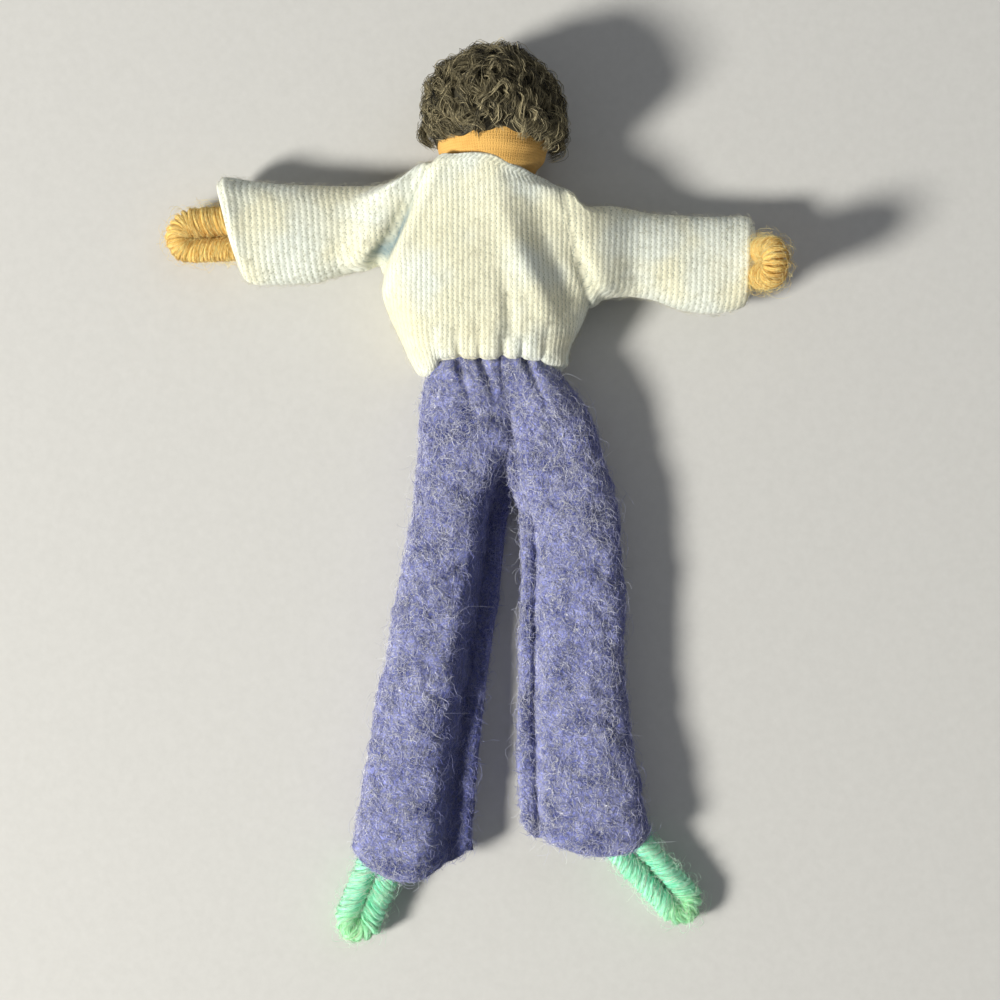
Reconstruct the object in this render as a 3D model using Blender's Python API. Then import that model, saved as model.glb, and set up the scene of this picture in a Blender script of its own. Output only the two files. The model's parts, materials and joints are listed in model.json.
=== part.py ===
"""A bendable doll lying face down: wire armature, wraps, yarn-wound hands and feet, felt trousers,
a jersey shirt and a woven head with yarn hair. Metres, +Z up from the table, +Y to the head, +X to
the picture's right side, where left and right name the sides of the picture. The origin is the point
of the shirt's chest that rests on the table."""

import math

import bmesh
import bpy
import numpy as np

# Fits and cloth
FIT_GAP = 0.0003
WIRE_RADIUS = 0.00045
WIRE_SETBACK = 0.0009
BORE_RADIUS = WIRE_RADIUS + FIT_GAP
JERSEY = 0.0006
FELT = 0.0011
HEAD_CLOTH = 0.0005
LIFT = 0.00015

# Trunk of the shirt
TRUNK_X = 0.00015
TRUNK_Z = 0.0065
TRUNK_HALF_WIDTH = 0.0147
TRUNK_HALF_DEPTH = 0.0070
TRUNK_TOP_Y = 0.0110
TRUNK_BOTTOM_Y = -0.0097
ARMHOLE_RADIUS = 0.0019
COLLAR_RADIUS = 0.0082
COLLAR_Y = 0.0157
COLLAR_SLANT = 0.0015
BLOUSE_SWELL = 0.0004

# Waist and hips
WAIST_X = 0.00105
WAIST_Y = -0.0138
WAIST_Z = 0.0056
WAIST_LINK = 0.0024
WAISTBAND_HALF_WIDTH = 0.0101
WAISTBAND_HALF_DEPTH = 0.0052
WAISTBAND_Z = 0.0051
SEAT_X = 0.0030
SEAT_Y = -0.0237
SEAT_HALF_WIDTH = 0.0127
SEAT_HALF_DEPTH = 0.0047
SEAT_Z = 0.0042
GATHER_DEPTH = 0.0003
GATHER_THREAD_RADIUS = 0.0002
HIP_PAD_HALF_WIDTH = 0.0088
HIP_PAD_HALF_DEPTH = 0.0030
HIP_PAD_TOP = 0.0018

# Head and neck
NECK_X = 0.0012
NECK_Y = 0.0116
HEAD_Z = 0.0089
NECK_LINK = 0.0022
HEAD_Y = 0.02175
HEAD_RADIUS = 0.0085
NECK_OPENING_RADIUS = 0.0017
NECK_FRILL = 0.0011
HEAD_WIRE_TOP = 0.0038
HAIR_THICKNESS = 0.0026
HAIR_CROWN = 0.0008
HAIR_LUMP = 0.0005
STITCH_RADIUS = 0.0003
EYE_SPACING = 0.0064
EYE_HEIGHT = 0.0010
EYE_LENGTH = 0.0011
MOUTH_DROP = 0.0034
MOUTH_LENGTH = 0.0026

# Arms
LEFT_SHOULDER_INSET = 0.0036
LEFT_SHOULDER_Y = 0.00825
RIGHT_SHOULDER_INSET = 0.00255
RIGHT_SHOULDER_Y = 0.00375
ARM_Z = 0.0050
SHOULDER_LINK = 0.0042
ELBOW_SHARE = 0.47445
LEFT_WRIST_INSET = 0.0028
RIGHT_WRIST_INSET = -0.0009
ARM_WRAP_RADIUS = 0.0023
SLEEVE_LENGTH = 0.0274
SLEEVE_HALF_WIDTH = 0.0076
SLEEVE_HALF_DEPTH = 0.0042
SLEEVE_DROP = 0.0005
SLEEVE_ROOT_DROP = 0.0012
ROOT_GAP = 0.0009
HAND_LENGTH = 0.0128
HAND_STRAND_RADIUS = 0.0020
HAND_STRAND_SPACING = 0.0045

# Legs
LEFT_HIP_X = -0.00225
RIGHT_HIP_X = 0.00765
HIP_Y = -0.02325
LEG_Z = 0.0042
ANKLE_Z = 0.0034
HIP_LINK = 0.0042
THIGH = 0.0327
SHIN = 0.0307
THIGH_WRAP_RADIUS = 0.0029
SHIN_WRAP_RADIUS = 0.0026
LEFT_TROUSER_TOP_X = -0.0039
LEFT_TROUSER_HEM_X = -0.0111
LEFT_HEM_DROP = 0.002537
LEFT_TROUSER_HALF_WIDTH = 0.00885
LEFT_TROUSER_BOW = 0.0
RIGHT_TROUSER_TOP_X = 0.00885
RIGHT_TROUSER_HEM_X = 0.0150
RIGHT_HEM_DROP = 0.000658
RIGHT_TROUSER_HALF_WIDTH = 0.00975
RIGHT_TROUSER_BOW = 0.0018
TROUSER_TOP_Y = -0.0250
TROUSER_HALF_DEPTH = 0.0046
TROUSER_Z = 0.0041
INSEAM_RIDGE = 0.0007
FOOT_LENGTH = 0.0171
FOOT_STRAND_RADIUS = 0.0016
FOOT_STRAND_SPACING = 0.0036

# Wraps and windings
WRAP_END_GAP = 0.0020
WRAP_END_RADIUS = 0.0012
WRAP_SWELL_LENGTH = 0.0024
YARN_RIDGE = 0.0004
SPINE_HALF_WIDTH = 0.0008
WIRE_SPLAY = 0.0011
HAIRPIN_SETBACK = 0.0007
HAND_TURNS = 16
FOOT_TURNS = 16

# Angles in degrees
LEFT_ARM_DROOP = 7.6
RIGHT_ARM_DROOP = 6.0
LEFT_HAND_DROOP = 0.0
RIGHT_HAND_DROOP = 3.0
LEFT_HAND_PITCH = -10.0
RIGHT_HAND_PITCH = 75.0
LEFT_THIGH_SPLAY = 8.7
RIGHT_THIGH_SPLAY = 10.0
SHIN_SPLAY = 13.2
LEFT_FOOT_SPLAY = 21.8
RIGHT_FOOT_SPLAY = 42.0
FOOT_PITCH = -5.5

# Sides round each kind of section
TRUNK_SIDES = 28
GATHER_SIDES = 32
LIMB_SIDES = 18
WRAP_SIDES = 10
WIRE_SIDES = 6
WINDING_SIDES = 10

CLOTH_POWER = 2.4

# Along the trunk from its top: share of the height, reach to each side, depth
TRUNK_SHARES = (
    (0.00, 0.63, 0.73, 0.86),
    (0.20, 0.70, 0.81, 0.97),
    (0.42, 0.83, 0.88, 1.00),
    (0.64, 0.97, 0.98, 1.00),
    (0.82, 1.00, 1.00, 0.96),
    (1.00, 0.91, 0.89, 0.88),
)
# Along a sleeve from the shoulder: share of the length, half-width, half-depth
SLEEVE_SHARES = (
    (0.28, 0.88, 1.02),
    (0.465, 0.90, 1.00),
    (0.48, 0.90, 1.00),
    (0.74, 1.00, 1.00),
    (0.92, 1.02, 1.03),
    (1.00, 0.97, 1.00),
)
SLEEVE_ROOT_SHARES = (1.19, 1.29)
SLEEVE_ROOT_MIX_SHARE = 0.45
SLEEVE_UPPER_COUNT = 2
# Along a trouser leg from its top: share of the length, half-width, half-depth
TROUSER_SHARES = (
    (0.00, 0.65, 1.00),
    (0.14, 0.79, 1.02),
    (0.31, 0.82, 1.00),
    (0.485, 0.84, 1.00),
    (0.492, 0.84, 1.00),
    (0.66, 0.90, 0.99),
    (0.84, 0.97, 0.98),
    (1.00, 1.00, 0.97),
)
TROUSER_THIGH_COUNT = 4
# Along a wrap between its two swelling ends: share of that length, radius
WRAP_SHARES = ((0.00, 0.93), (0.35, 1.00), (0.70, 0.96), (1.00, 0.88))
# Hip padding from its top: share of its height, half-width, half-depth
HIP_PAD_SHARES = ((0.00, 0.38, 0.80), (0.45, 0.94, 1.00), (1.00, 1.00, 0.96))
# Chest padding: share of the trunk's height, share of the room inside the jersey
CHEST_PAD_SHARES = ((0.07, 0.62), (0.20, 0.96), (0.45, 1.0), (0.72, 1.0), (0.90, 0.86), (1.00, 0.42))

# Fineness of the surfaces
MERGE_DISTANCE = 0.000002
SHARP_DEGREES = 50.0
WIRE_STEPS = 3
SHORT_WIRE_STEPS = 2
SPINE_STEPS = 10
SPINE_SIDES = 8
HEAD_STEPS = 7
HEAD_SIDES = 20
BALL_SIDES = 12
HAIR_SIDES = 22
HAIR_STEPS = 7
THREAD_SIDES = 5
THREAD_STEPS = 20
HAIRPIN_STRAIGHT_STEPS = 4
HAIRPIN_BEND_STEPS = 9

# Shapes of single pieces, as shares, counts and angles
ARMHOLE_REACH_SHARE = 1.6
YOKE_SHARES = (0.0, 0.35, 0.7, 1.0)
BLOUSE_MIDDLE_SHARE = 0.55
# The trousers' waist from its top: share of the height, share of the spread to the seat
WAIST_SPREAD_SHARES = ((0.0, 0.0), (0.3, 0.45), (0.65, 0.8), (1.0, 1.0))
SPINE_TWIST = 3.0 * math.pi
HAIR_LEAN_SHARE = 0.35
HAIR_LUMPS = 5.0
HAIR_LUMP_TWIST = 9.0
HAIR_EDGE_MEAN = 94.75
HAIR_EDGE_BACK = 4.5
HAIR_EDGE_SIDE = -11.25
HAIR_EDGE_WAVE = 2.0
HAIR_EDGE_WAVES = 7.0
HAIR_EDGE_TAPER_SHARE = 0.55
HAIR_EDGE_TAPER_POWER = 6
MOUTH_STEP_SHARES = (-1.0, -0.4, 0.4, 1.0)
# The hip wire from one hip to the waist: share of the drop, share of the spread
HIP_ARCH_SHARES = ((1.0, 1.0), (0.55, 0.9), (0.2, 0.55), (0.0, 0.0))
# A parabola over one length is a quarter high at its middle
PARABOLA_SHARE = 4.0
QUARTER_TURN = 90.0
MILLIMETRES = 1000.0

COLOURS = {
    "jersey": (0.80, 0.84, 0.82),
    "felt": (0.13, 0.15, 0.46),
    "skin_cloth": (0.56, 0.26, 0.07),
    "skin_yarn": (0.58, 0.28, 0.09),
    "shoe_yarn": (0.05, 0.52, 0.32),
    "hair_yarn": (0.02, 0.02, 0.02),
    "batting": (0.86, 0.83, 0.76),
    "wire": (0.55, 0.55, 0.57),
    "thread": (0.10, 0.07, 0.05),
    "white_thread": (0.82, 0.82, 0.80),
}
ROUGHNESS = {"wire": 0.35}
CLOTH_ROUGHNESS = 0.9
METALLIC = {"wire": 1.0}

UP = np.array([0.0, 0.0, 1.0])
empties = {}


def clear_scene():
    for thing in list(bpy.data.objects):
        bpy.data.objects.remove(thing, do_unlink=True)


def point(x, y, z):
    return np.array([x, y, z], dtype=float)


def unit(vector):
    return vector / np.linalg.norm(vector)


def heading(sideways, splay):
    """Flat direction that leaves straight down the doll by splay degrees, towards one side."""
    angle = math.radians(splay)
    return point(sideways * math.sin(angle), -math.cos(angle), 0.0)


def pitched(direction, degrees):
    angle = math.radians(degrees)
    return direction * math.cos(angle) + UP * math.sin(angle)


def finish(name, kind):
    material = bpy.data.materials.new(name)
    material.use_nodes = True
    shader = next(n for n in material.node_tree.nodes if n.type == "BSDF_PRINCIPLED")
    shader.inputs["Base Color"].default_value = (*COLOURS[kind], 1.0)
    shader.inputs["Roughness"].default_value = ROUGHNESS.get(kind, CLOTH_ROUGHNESS)
    shader.inputs["Metallic"].default_value = METALLIC.get(kind, 0.0)
    return material


def add_pivot(body, parent, place):
    """An empty on the joint that carries a body, under its parent body's own empty."""
    empty = bpy.data.objects.new(f"pivot_{body}", None)
    bpy.context.scene.collection.objects.link(empty)
    origin = np.array(place, dtype=float)
    empties[body] = (empty, origin)
    if parent:
        carrier, start = empties[parent]
        empty.parent = carrier
        empty.location = origin - start
    else:
        empty.location = origin


def skin(name, rings, body, kind, loop=False):
    """Joins rings of points into one closed surface. A ring of one point is a pole, and a looped
    skin runs up the outer wall and back down the inner one."""
    empty, origin = empties[body]
    mesh = bpy.data.meshes.new(name)
    shape = bmesh.new()
    rows = [[shape.verts.new(p - origin) for p in np.atleast_2d(r)] for r in rings]
    pairs = list(zip(rows, rows[1:]))
    if loop:
        pairs.append((rows[-1], rows[0]))
    for low, high in pairs:
        sides = max(len(low), len(high))
        for i in range(sides):
            j = (i + 1) % sides
            corners = [low[i % len(low)], low[j % len(low)], high[j % len(high)], high[i % len(high)]]
            corners = list(dict.fromkeys(corners))
            shape.faces.new(corners)
    bmesh.ops.remove_doubles(shape, verts=shape.verts, dist=MERGE_DISTANCE)
    bmesh.ops.triangulate(shape, faces=shape.faces)
    if shape.calc_volume(signed=True) < 0:
        bmesh.ops.reverse_faces(shape, faces=shape.faces)
    shape.normal_update()
    shape.to_mesh(mesh)
    shape.free()
    mesh.shade_smooth()
    mesh.set_sharp_from_angle(angle=math.radians(SHARP_DEGREES))
    mesh.materials.append(finish(name, kind))
    node = bpy.data.objects.new(name, mesh)
    bpy.context.scene.collection.objects.link(node)
    node.parent = empty
    return node


def section(centre, side, up, half_side, half_up, sides, power=2.0, floor=None):
    """Points round a superellipse, pressed flat where it would pass under the floor."""
    turn = np.linspace(0.0, 2.0 * math.pi, sides, endpoint=False)
    across = np.sign(np.cos(turn)) * np.abs(np.cos(turn)) ** (2.0 / power) * half_side
    rise = np.sign(np.sin(turn)) * np.abs(np.sin(turn)) ** (2.0 / power) * half_up
    points = centre + np.outer(across, side) + np.outer(rise, up)
    if floor is not None:
        points[:, 2] = np.maximum(points[:, 2], floor)
    return points


def tube_rings(path, radii, binormal, sides, flatness=1.0, twist=0.0):
    """Rings round a path that bends only about the binormal. A radius of zero gives a pole."""
    path = np.asarray(path, dtype=float)
    tangents = np.gradient(path, axis=0)
    rings = []
    for i, (centre, tangent, radius) in enumerate(zip(path, tangents, radii)):
        if radius <= 0.0:
            rings.append(centre[None, :])
            continue
        normal = unit(np.cross(binormal, unit(tangent)))
        angle = twist * i / (len(path) - 1)
        side = normal * math.cos(angle) + binormal * math.sin(angle)
        up = binormal * math.cos(angle) - normal * math.sin(angle)
        rings.append(section(centre, side, up, radius * flatness, radius, sides))
    return rings


def rounded(path, radius):
    """Adds a half-round end to each end of a path, and gives the path with its radii."""
    path = [np.asarray(p, dtype=float) for p in path]
    head = unit(path[0] - path[1]) * radius
    tail = unit(path[-1] - path[-2]) * radius
    bend = math.sqrt(0.5)
    full = [path[0] + head, path[0] + head * bend, *path, path[-1] + tail * bend, path[-1] + tail]
    radii = [0.0, radius * bend, *[radius] * len(path), radius * bend, 0.0]
    return full, radii


def wire(name, body, path, binormal=UP):
    full, radii = rounded(path, WIRE_RADIUS)
    return skin(name, tube_rings(full, radii, binormal, WIRE_SIDES), body, "wire")


def between(start, end, count):
    steps = np.linspace(0.0, 1.0, count)[:, None]
    return start + (end - start) * steps


def wrap(name, body, start, end, radius):
    """A swelling roll round a wire between two bends, with a bore for the wire."""
    along = unit(end - start)
    side = unit(np.cross(UP, along))
    up = np.cross(along, side)
    first = start + along * WRAP_END_GAP
    last = end - along * WRAP_END_GAP
    inner_first = first + along * WRAP_SWELL_LENGTH
    inner_last = last - along * WRAP_SWELL_LENGTH
    places = [(first, WRAP_END_RADIUS)]
    places += [(inner_first + (inner_last - inner_first) * t, radius * share) for t, share in WRAP_SHARES]
    places += [(last, WRAP_END_RADIUS)]
    rings = [section(c, side, up, r, r, WRAP_SIDES) for c, r in places]
    rings += [section(c, side, up, BORE_RADIUS, BORE_RADIUS, WRAP_SIDES) for c in (last, first)]
    return skin(name, rings, body, "batting", loop=True)


def shell(name, body, kind, stations, wall):
    """A cloth tube from stations of (centre, side, half-width, half-depth, floor, sides, ridge)."""
    outer, inner = [], []
    for centre, side, half_width, half_depth, floor, sides, ridge in stations:
        skin_ring = section(centre, side, UP, half_width, half_depth, sides, CLOTH_POWER, floor)
        skin_ring = skin_ring + ridge(sides) if ridge else skin_ring
        outer.append(skin_ring)
        inner.append(
            section(centre, side, UP, half_width - wall, half_depth - wall, sides, CLOTH_POWER, floor + wall)
        )
    return skin(name, outer + inner[::-1], body, kind, loop=True)


def trunk_edges(y):
    """The shirt's two side edges at a height, from the waist up through the yoke to the collar."""
    share = (TRUNK_TOP_Y - y) / (TRUNK_TOP_Y - TRUNK_BOTTOM_Y)
    steps = [s[0] for s in TRUNK_SHARES]
    left = TRUNK_X - TRUNK_HALF_WIDTH * np.interp(share, steps, [s[1] for s in TRUNK_SHARES])
    right = TRUNK_X + TRUNK_HALF_WIDTH * np.interp(share, steps, [s[2] for s in TRUNK_SHARES])
    rise = np.clip((y - TRUNK_TOP_Y) / (COLLAR_Y - TRUNK_TOP_Y), 0.0, 1.0)
    left = left + (NECK_X - COLLAR_RADIUS - left) * rise
    right = right + (NECK_X + COLLAR_RADIUS - right) * rise
    return left, right


def trunk_stations():
    stations = []
    for share, _, _, depth in TRUNK_SHARES:
        y = TRUNK_TOP_Y + (TRUNK_BOTTOM_Y - TRUNK_TOP_Y) * share
        left, right = trunk_edges(y)
        stations.append((y, left, right, depth * TRUNK_HALF_DEPTH))
    return stations


def cutter(name, rings, body):
    """A tool for a bore: kept out of the model and shown as wire."""
    node = skin(name, rings, body, "wire")
    node.display_type = "WIRE"
    node.hide_render = True
    return node


def bore(node, tool):
    cut = node.modifiers.new("bore", "BOOLEAN")
    cut.object = tool
    cut.operation = "DIFFERENCE"
    cut.solver = "EXACT"


def rod_rings(start, end, radius, sides, binormal=UP):
    """A plain rod with flat ends."""
    path = [start, *between(start, end, WIRE_STEPS), end]
    return tube_rings(path, [0.0, radius, radius, radius, 0.0], binormal, sides)


def make_trunk(arms):
    across = point(1.0, 0.0, 0.0)
    stations = []
    for y, left, right, half_depth in trunk_stations():
        centre = point((left + right) / 2.0, y, TRUNK_Z)
        stations.append((centre, across, (right - left) / 2.0, half_depth, 0.0, TRUNK_SIDES, None))
    body = shell("shirt_trunk", "torso", "jersey", stations, JERSEY)
    for side, arm in arms.items():
        reach = arm["direction"] * ARMHOLE_RADIUS * ARMHOLE_REACH_SHARE
        rings = rod_rings(arm["shoulder"] - reach, arm["shoulder"] + reach, ARMHOLE_RADIUS, WRAP_SIDES)
        bore(body, cutter(f"armhole_{side}", rings, "torso"))


def make_yoke():
    """The shirt's shoulders and neckline, from the trunk's top to the slanted collar."""
    top_y = TRUNK_TOP_Y + FIT_GAP
    left, right = trunk_edges(TRUNK_TOP_Y)
    base = (left, right, TRUNK_Z, TRUNK_SHARES[0][3] * TRUNK_HALF_DEPTH)
    rim = (NECK_X - COLLAR_RADIUS, NECK_X + COLLAR_RADIUS, HEAD_Z, COLLAR_RADIUS)
    outer, inner = [], []
    for share in YOKE_SHARES:
        low, high, z, half_depth = (b + (r - b) * share for b, r in zip(base, rim))
        centre = point((low + high) / 2.0, top_y + (COLLAR_Y - top_y) * share, z)
        tilt = COLLAR_SLANT * share / COLLAR_RADIUS
        side = point(1.0, -tilt, 0.0)
        power = CLOTH_POWER + (2.0 - CLOTH_POWER) * share
        half = (high - low) / 2.0
        outer.append(section(centre, side, UP, half, half_depth, TRUNK_SIDES, power, 0.0))
        inner.append(section(centre, side, UP, half - JERSEY, half_depth - JERSEY, TRUNK_SIDES, power, JERSEY))
    skin("shirt_yoke", outer + inner[::-1], "torso", "jersey", loop=True)


def gathered(centre, half_width, half_depth, depth, floor, wall=0.0):
    """A section with soft gathers round it, deepest at the tied edge."""
    turn = np.linspace(0.0, 2.0 * math.pi, GATHER_SIDES, endpoint=False)
    wave = depth * np.cos(turn * GATHER_SIDES / 2.0)
    across = point(1.0, 0.0, 0.0)
    plain = section(centre, across, UP, half_width - wall, half_depth - wall, GATHER_SIDES, CLOTH_POWER)
    outward = plain - centre
    points = plain + outward / np.linalg.norm(outward, axis=1)[:, None] * wave[:, None]
    points[:, 2] = np.maximum(points[:, 2], floor + wall)
    return points


def make_blouse():
    """The shirt's hem, which blouses out and is drawn in over the trousers."""
    _, left, right, half_depth = trunk_stations()[-1]
    top = point((left + right) / 2.0, TRUNK_BOTTOM_Y - FIT_GAP, TRUNK_Z)
    tied = point(WAIST_X, WAIST_Y - FIT_GAP / 2.0, WAISTBAND_Z)
    half = (right - left) / 2.0
    middle = top + (tied - top) * BLOUSE_MIDDLE_SHARE
    swell_width = half - (half - WAISTBAND_HALF_WIDTH) * BLOUSE_MIDDLE_SHARE / 2.0 + BLOUSE_SWELL
    swell_depth = half_depth + BLOUSE_SWELL
    stations = (
        (top, half, half_depth, 0.0),
        (middle, swell_width, swell_depth, GATHER_DEPTH / 2.0),
        (tied, WAISTBAND_HALF_WIDTH + BLOUSE_SWELL, WAISTBAND_HALF_DEPTH + BLOUSE_SWELL, GATHER_DEPTH),
    )
    outer = [gathered(*s, LIFT) for s in stations]
    inner = [gathered(*s, LIFT, JERSEY) for s in stations]
    skin("shirt_hem", outer + inner[::-1], "torso", "jersey", loop=True)


def make_trouser_waist():
    top = point(WAIST_X, WAIST_Y - FIT_GAP / 2.0 - FIT_GAP, WAISTBAND_Z)
    seat = point(SEAT_X, SEAT_Y, SEAT_Z)
    stations = []
    for share, spread in WAIST_SPREAD_SHARES:
        centre = top + (seat - top) * share
        half_width = WAISTBAND_HALF_WIDTH + (SEAT_HALF_WIDTH - WAISTBAND_HALF_WIDTH) * spread
        half_depth = WAISTBAND_HALF_DEPTH + (SEAT_HALF_DEPTH - WAISTBAND_HALF_DEPTH) * spread
        stations.append((centre, half_width, half_depth, GATHER_DEPTH * (1.0 - share)))
    outer = [gathered(*s, 0.0) for s in stations]
    inner = [gathered(*s, 0.0, FELT) for s in stations]
    skin("trouser_waist", outer + inner[::-1], "hips", "felt", loop=True)
    half_width, half_depth = WAISTBAND_HALF_WIDTH, WAISTBAND_HALF_DEPTH
    inset = FELT + GATHER_DEPTH + FIT_GAP + GATHER_THREAD_RADIUS
    centre = top - point(0.0, FELT + GATHER_THREAD_RADIUS, 0.0)
    ring_of_thread("waist_thread", "hips", centre, half_width - inset, half_depth - inset, "white_thread")


def ring_of_thread(name, body, centre, half_width, half_depth, kind):
    """A closed loop of thread round the doll's long axis."""
    turn = np.linspace(0.0, 2.0 * math.pi, THREAD_STEPS, endpoint=False)
    outward = np.stack([np.cos(turn), np.zeros(THREAD_STEPS), np.sin(turn)], axis=1)
    line = centre + outward * np.array([half_width, 0.0, half_depth])
    along = point(0.0, 1.0, 0.0)
    rings = []
    for place, out in zip(line, outward):
        rings.append(section(place, out, along, GATHER_THREAD_RADIUS, GATHER_THREAD_RADIUS, THREAD_SIDES))
    skin(name, rings, body, kind, loop=True)


def make_padding(arms):
    """Batting that fills the trunk, with bores for the spine and the shoulder wire."""
    across = point(1.0, 0.0, 0.0)
    inset = JERSEY + FIT_GAP
    heights = [s[0] for s in TRUNK_SHARES]
    stations = trunk_stations()
    spine = spine_path()
    outer, inner = [], []
    for share, fill in CHEST_PAD_SHARES:
        y = TRUNK_TOP_Y + (TRUNK_BOTTOM_Y - TRUNK_TOP_Y) * share
        left = np.interp(share, heights, [s[1] for s in stations]) + inset
        right = np.interp(share, heights, [s[2] for s in stations]) - inset
        depth = np.interp(share, heights, [s[3] for s in stations]) - inset
        step = (y - spine[0][1]) / (spine[-1][1] - spine[0][1])
        on_spine = spine[0] + (spine[-1] - spine[0]) * step
        centre = point((left + right) / 2.0, y, TRUNK_Z)
        half = (right - left) / 2.0 * fill
        floor = JERSEY + FIT_GAP
        outer.append(section(centre, across, UP, half, depth * fill, TRUNK_SIDES // 2, CLOTH_POWER, floor))
        radius = SPINE_HALF_WIDTH + FIT_GAP
        inner.append(section(on_spine, across, UP, radius, radius, TRUNK_SIDES // 2))
    padding = skin("chest_padding", outer + inner[::-1], "torso", "batting", loop=True)
    first, last = (arms[s]["shoulder"] for s in ("left", "right"))
    rings = rod_rings(first, last, BORE_RADIUS, WIRE_SIDES)
    bore(padding, cutter("shoulder_bore", rings, "torso"))


def spine_path():
    neck = point(NECK_X, NECK_Y - WIRE_SETBACK, HEAD_Z)
    waist = point(WAIST_X, WAIST_Y + WIRE_SETBACK, WAIST_Z)
    return between(neck, waist, SPINE_STEPS)


def make_torso_wires(arms):
    """The doubled spine wire, twisted on itself, and the arm wire that crosses in front of it."""
    full, radii = rounded(spine_path(), WIRE_RADIUS)
    rings = tube_rings(full, radii, UP, SPINE_SIDES, SPINE_HALF_WIDTH / WIRE_RADIUS, SPINE_TWIST)
    skin("spine_wire", rings, "torso", "wire")
    setback = WIRE_SETBACK
    first = arms["left"]["shoulder"] - arms["left"]["direction"] * setback
    last = arms["right"]["shoulder"] - arms["right"]["direction"] * setback
    wire("shoulder_wire", "torso", between(first, last, WIRE_STEPS))


def make_neck():
    nod = point(NECK_X, NECK_Y, HEAD_Z)
    up_neck = point(0.0, 1.0, 0.0)
    tilt = nod + up_neck * NECK_LINK
    turn = tilt + up_neck * (WIRE_SETBACK + NECK_LINK + WIRE_RADIUS)
    lower = between(nod + up_neck * WIRE_SETBACK, tilt - up_neck * WIRE_SETBACK, SHORT_WIRE_STEPS)
    wire("neck_wire_lower", "neck_lower", lower)
    upper = between(tilt + up_neck * WIRE_SETBACK, turn - up_neck * WIRE_RADIUS, WIRE_STEPS)
    wire("neck_wire_upper", "neck_upper", upper)
    top = point(NECK_X, HEAD_Y + HEAD_WIRE_TOP, HEAD_Z)
    wire("head_wire", "head", between(turn + up_neck * (FIT_GAP + WIRE_RADIUS), top, WIRE_STEPS))
    return tilt


def ball_rings(centre, radius, opening, count, sides):
    """Rings down a ball from its top pole to an opening at the neck."""
    low = math.pi - math.asin(opening / radius)
    rings = [centre[None, :] + point(0.0, radius, 0.0)]
    for polar in np.linspace(0.0, low, count + 1)[1:]:
        place = centre + point(0.0, radius * math.cos(polar), 0.0)
        size = radius * math.sin(polar)
        rings.append(section(place, point(1.0, 0.0, 0.0), UP, size, size, sides))
    return rings


def make_head(tilt):
    centre = point(NECK_X, HEAD_Y, HEAD_Z)
    across = point(1.0, 0.0, 0.0)
    outer = ball_rings(centre, HEAD_RADIUS, NECK_OPENING_RADIUS, HEAD_STEPS, HEAD_SIDES)
    inner = ball_rings(centre, HEAD_RADIUS - HEAD_CLOTH, NECK_OPENING_RADIUS - HEAD_CLOTH, HEAD_STEPS, HEAD_SIDES)
    frill_place = tilt - point(0.0, NECK_FRILL, 0.0)
    frill = section(frill_place, across, UP, *[NECK_OPENING_RADIUS + FIT_GAP] * 2, HEAD_SIDES)
    frill_in = section(frill_place, across, UP, *[NECK_OPENING_RADIUS + FIT_GAP - HEAD_CLOTH] * 2, HEAD_SIDES)
    skin("head_cover", [*outer, frill, frill_in, *inner[::-1]], "head", "skin_cloth")

    stuffing = HEAD_RADIUS - HEAD_CLOTH - FIT_GAP
    rings = ball_rings(centre, stuffing, BORE_RADIUS, HEAD_STEPS, BALL_SIDES)
    bore_top = centre + point(0.0, HEAD_WIRE_TOP + WIRE_RADIUS + FIT_GAP, 0.0)
    rings += [section(bore_top, across, UP, BORE_RADIUS, BORE_RADIUS, BALL_SIDES), bore_top[None, :]]
    skin("head_ball", rings, "head", "batting")

    tie_radius = NECK_OPENING_RADIUS + FIT_GAP + GATHER_THREAD_RADIUS
    tie_place = centre - point(0.0, math.sqrt(HEAD_RADIUS**2 - tie_radius**2), 0.0)
    tie_place = tie_place - point(0.0, FIT_GAP + GATHER_THREAD_RADIUS, 0.0)
    ring_of_thread("neck_tie", "head", tie_place, tie_radius, tie_radius, "thread")
    make_hair(centre)
    make_face(centre)


def make_hair(centre):
    """A cap of yarn curls: low at the sides and the nape, higher over the hidden forehead."""
    pole = unit(point(0.0, 1.0, HAIR_LEAN_SHARE))
    across = point(1.0, 0.0, 0.0)
    back = np.cross(across, pole)
    around = np.linspace(0.0, 2.0 * math.pi, HAIR_SIDES, endpoint=False)
    edge = HAIR_EDGE_MEAN + HAIR_EDGE_BACK * np.cos(around) + HAIR_EDGE_SIDE * np.cos(2.0 * around)
    edge = np.radians(edge + HAIR_EDGE_WAVE * np.cos(HAIR_EDGE_WAVES * around))
    inside = HEAD_RADIUS + FIT_GAP
    outside = inside + HAIR_THICKNESS
    outer, inner = [centre + pole * (outside + HAIR_CROWN)], [centre + pole * inside]
    for share in np.linspace(0.0, 1.0, HAIR_STEPS + 1)[1:]:
        polar = edge * share
        lump = HAIR_LUMP * np.sin(HAIR_LUMPS * around + HAIR_LUMP_TWIST * share) * np.sin(math.pi * share)
        crown = HAIR_CROWN * (1.0 - share)
        taper = 1.0 - HAIR_EDGE_TAPER_SHARE * share**HAIR_EDGE_TAPER_POWER
        radius = inside + (HAIR_THICKNESS + lump + crown) * taper
        out = np.outer(np.cos(polar), pole)
        out = out + (np.sin(polar) * np.cos(around))[:, None] * -back
        out = out + (np.sin(polar) * np.sin(around))[:, None] * across
        outer.append(centre + out * radius[:, None])
        inner.append(centre + out * inside)
    skin("hair", [*outer, *inner[::-1]], "head", "hair_yarn")


def on_face(centre, x, y):
    """The place on the face side where a stitch lies, just clear of the cover."""
    reach = HEAD_RADIUS + FIT_GAP + STITCH_RADIUS
    return centre + point(x, y, -math.sqrt(reach**2 - x**2 - y**2))


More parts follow.
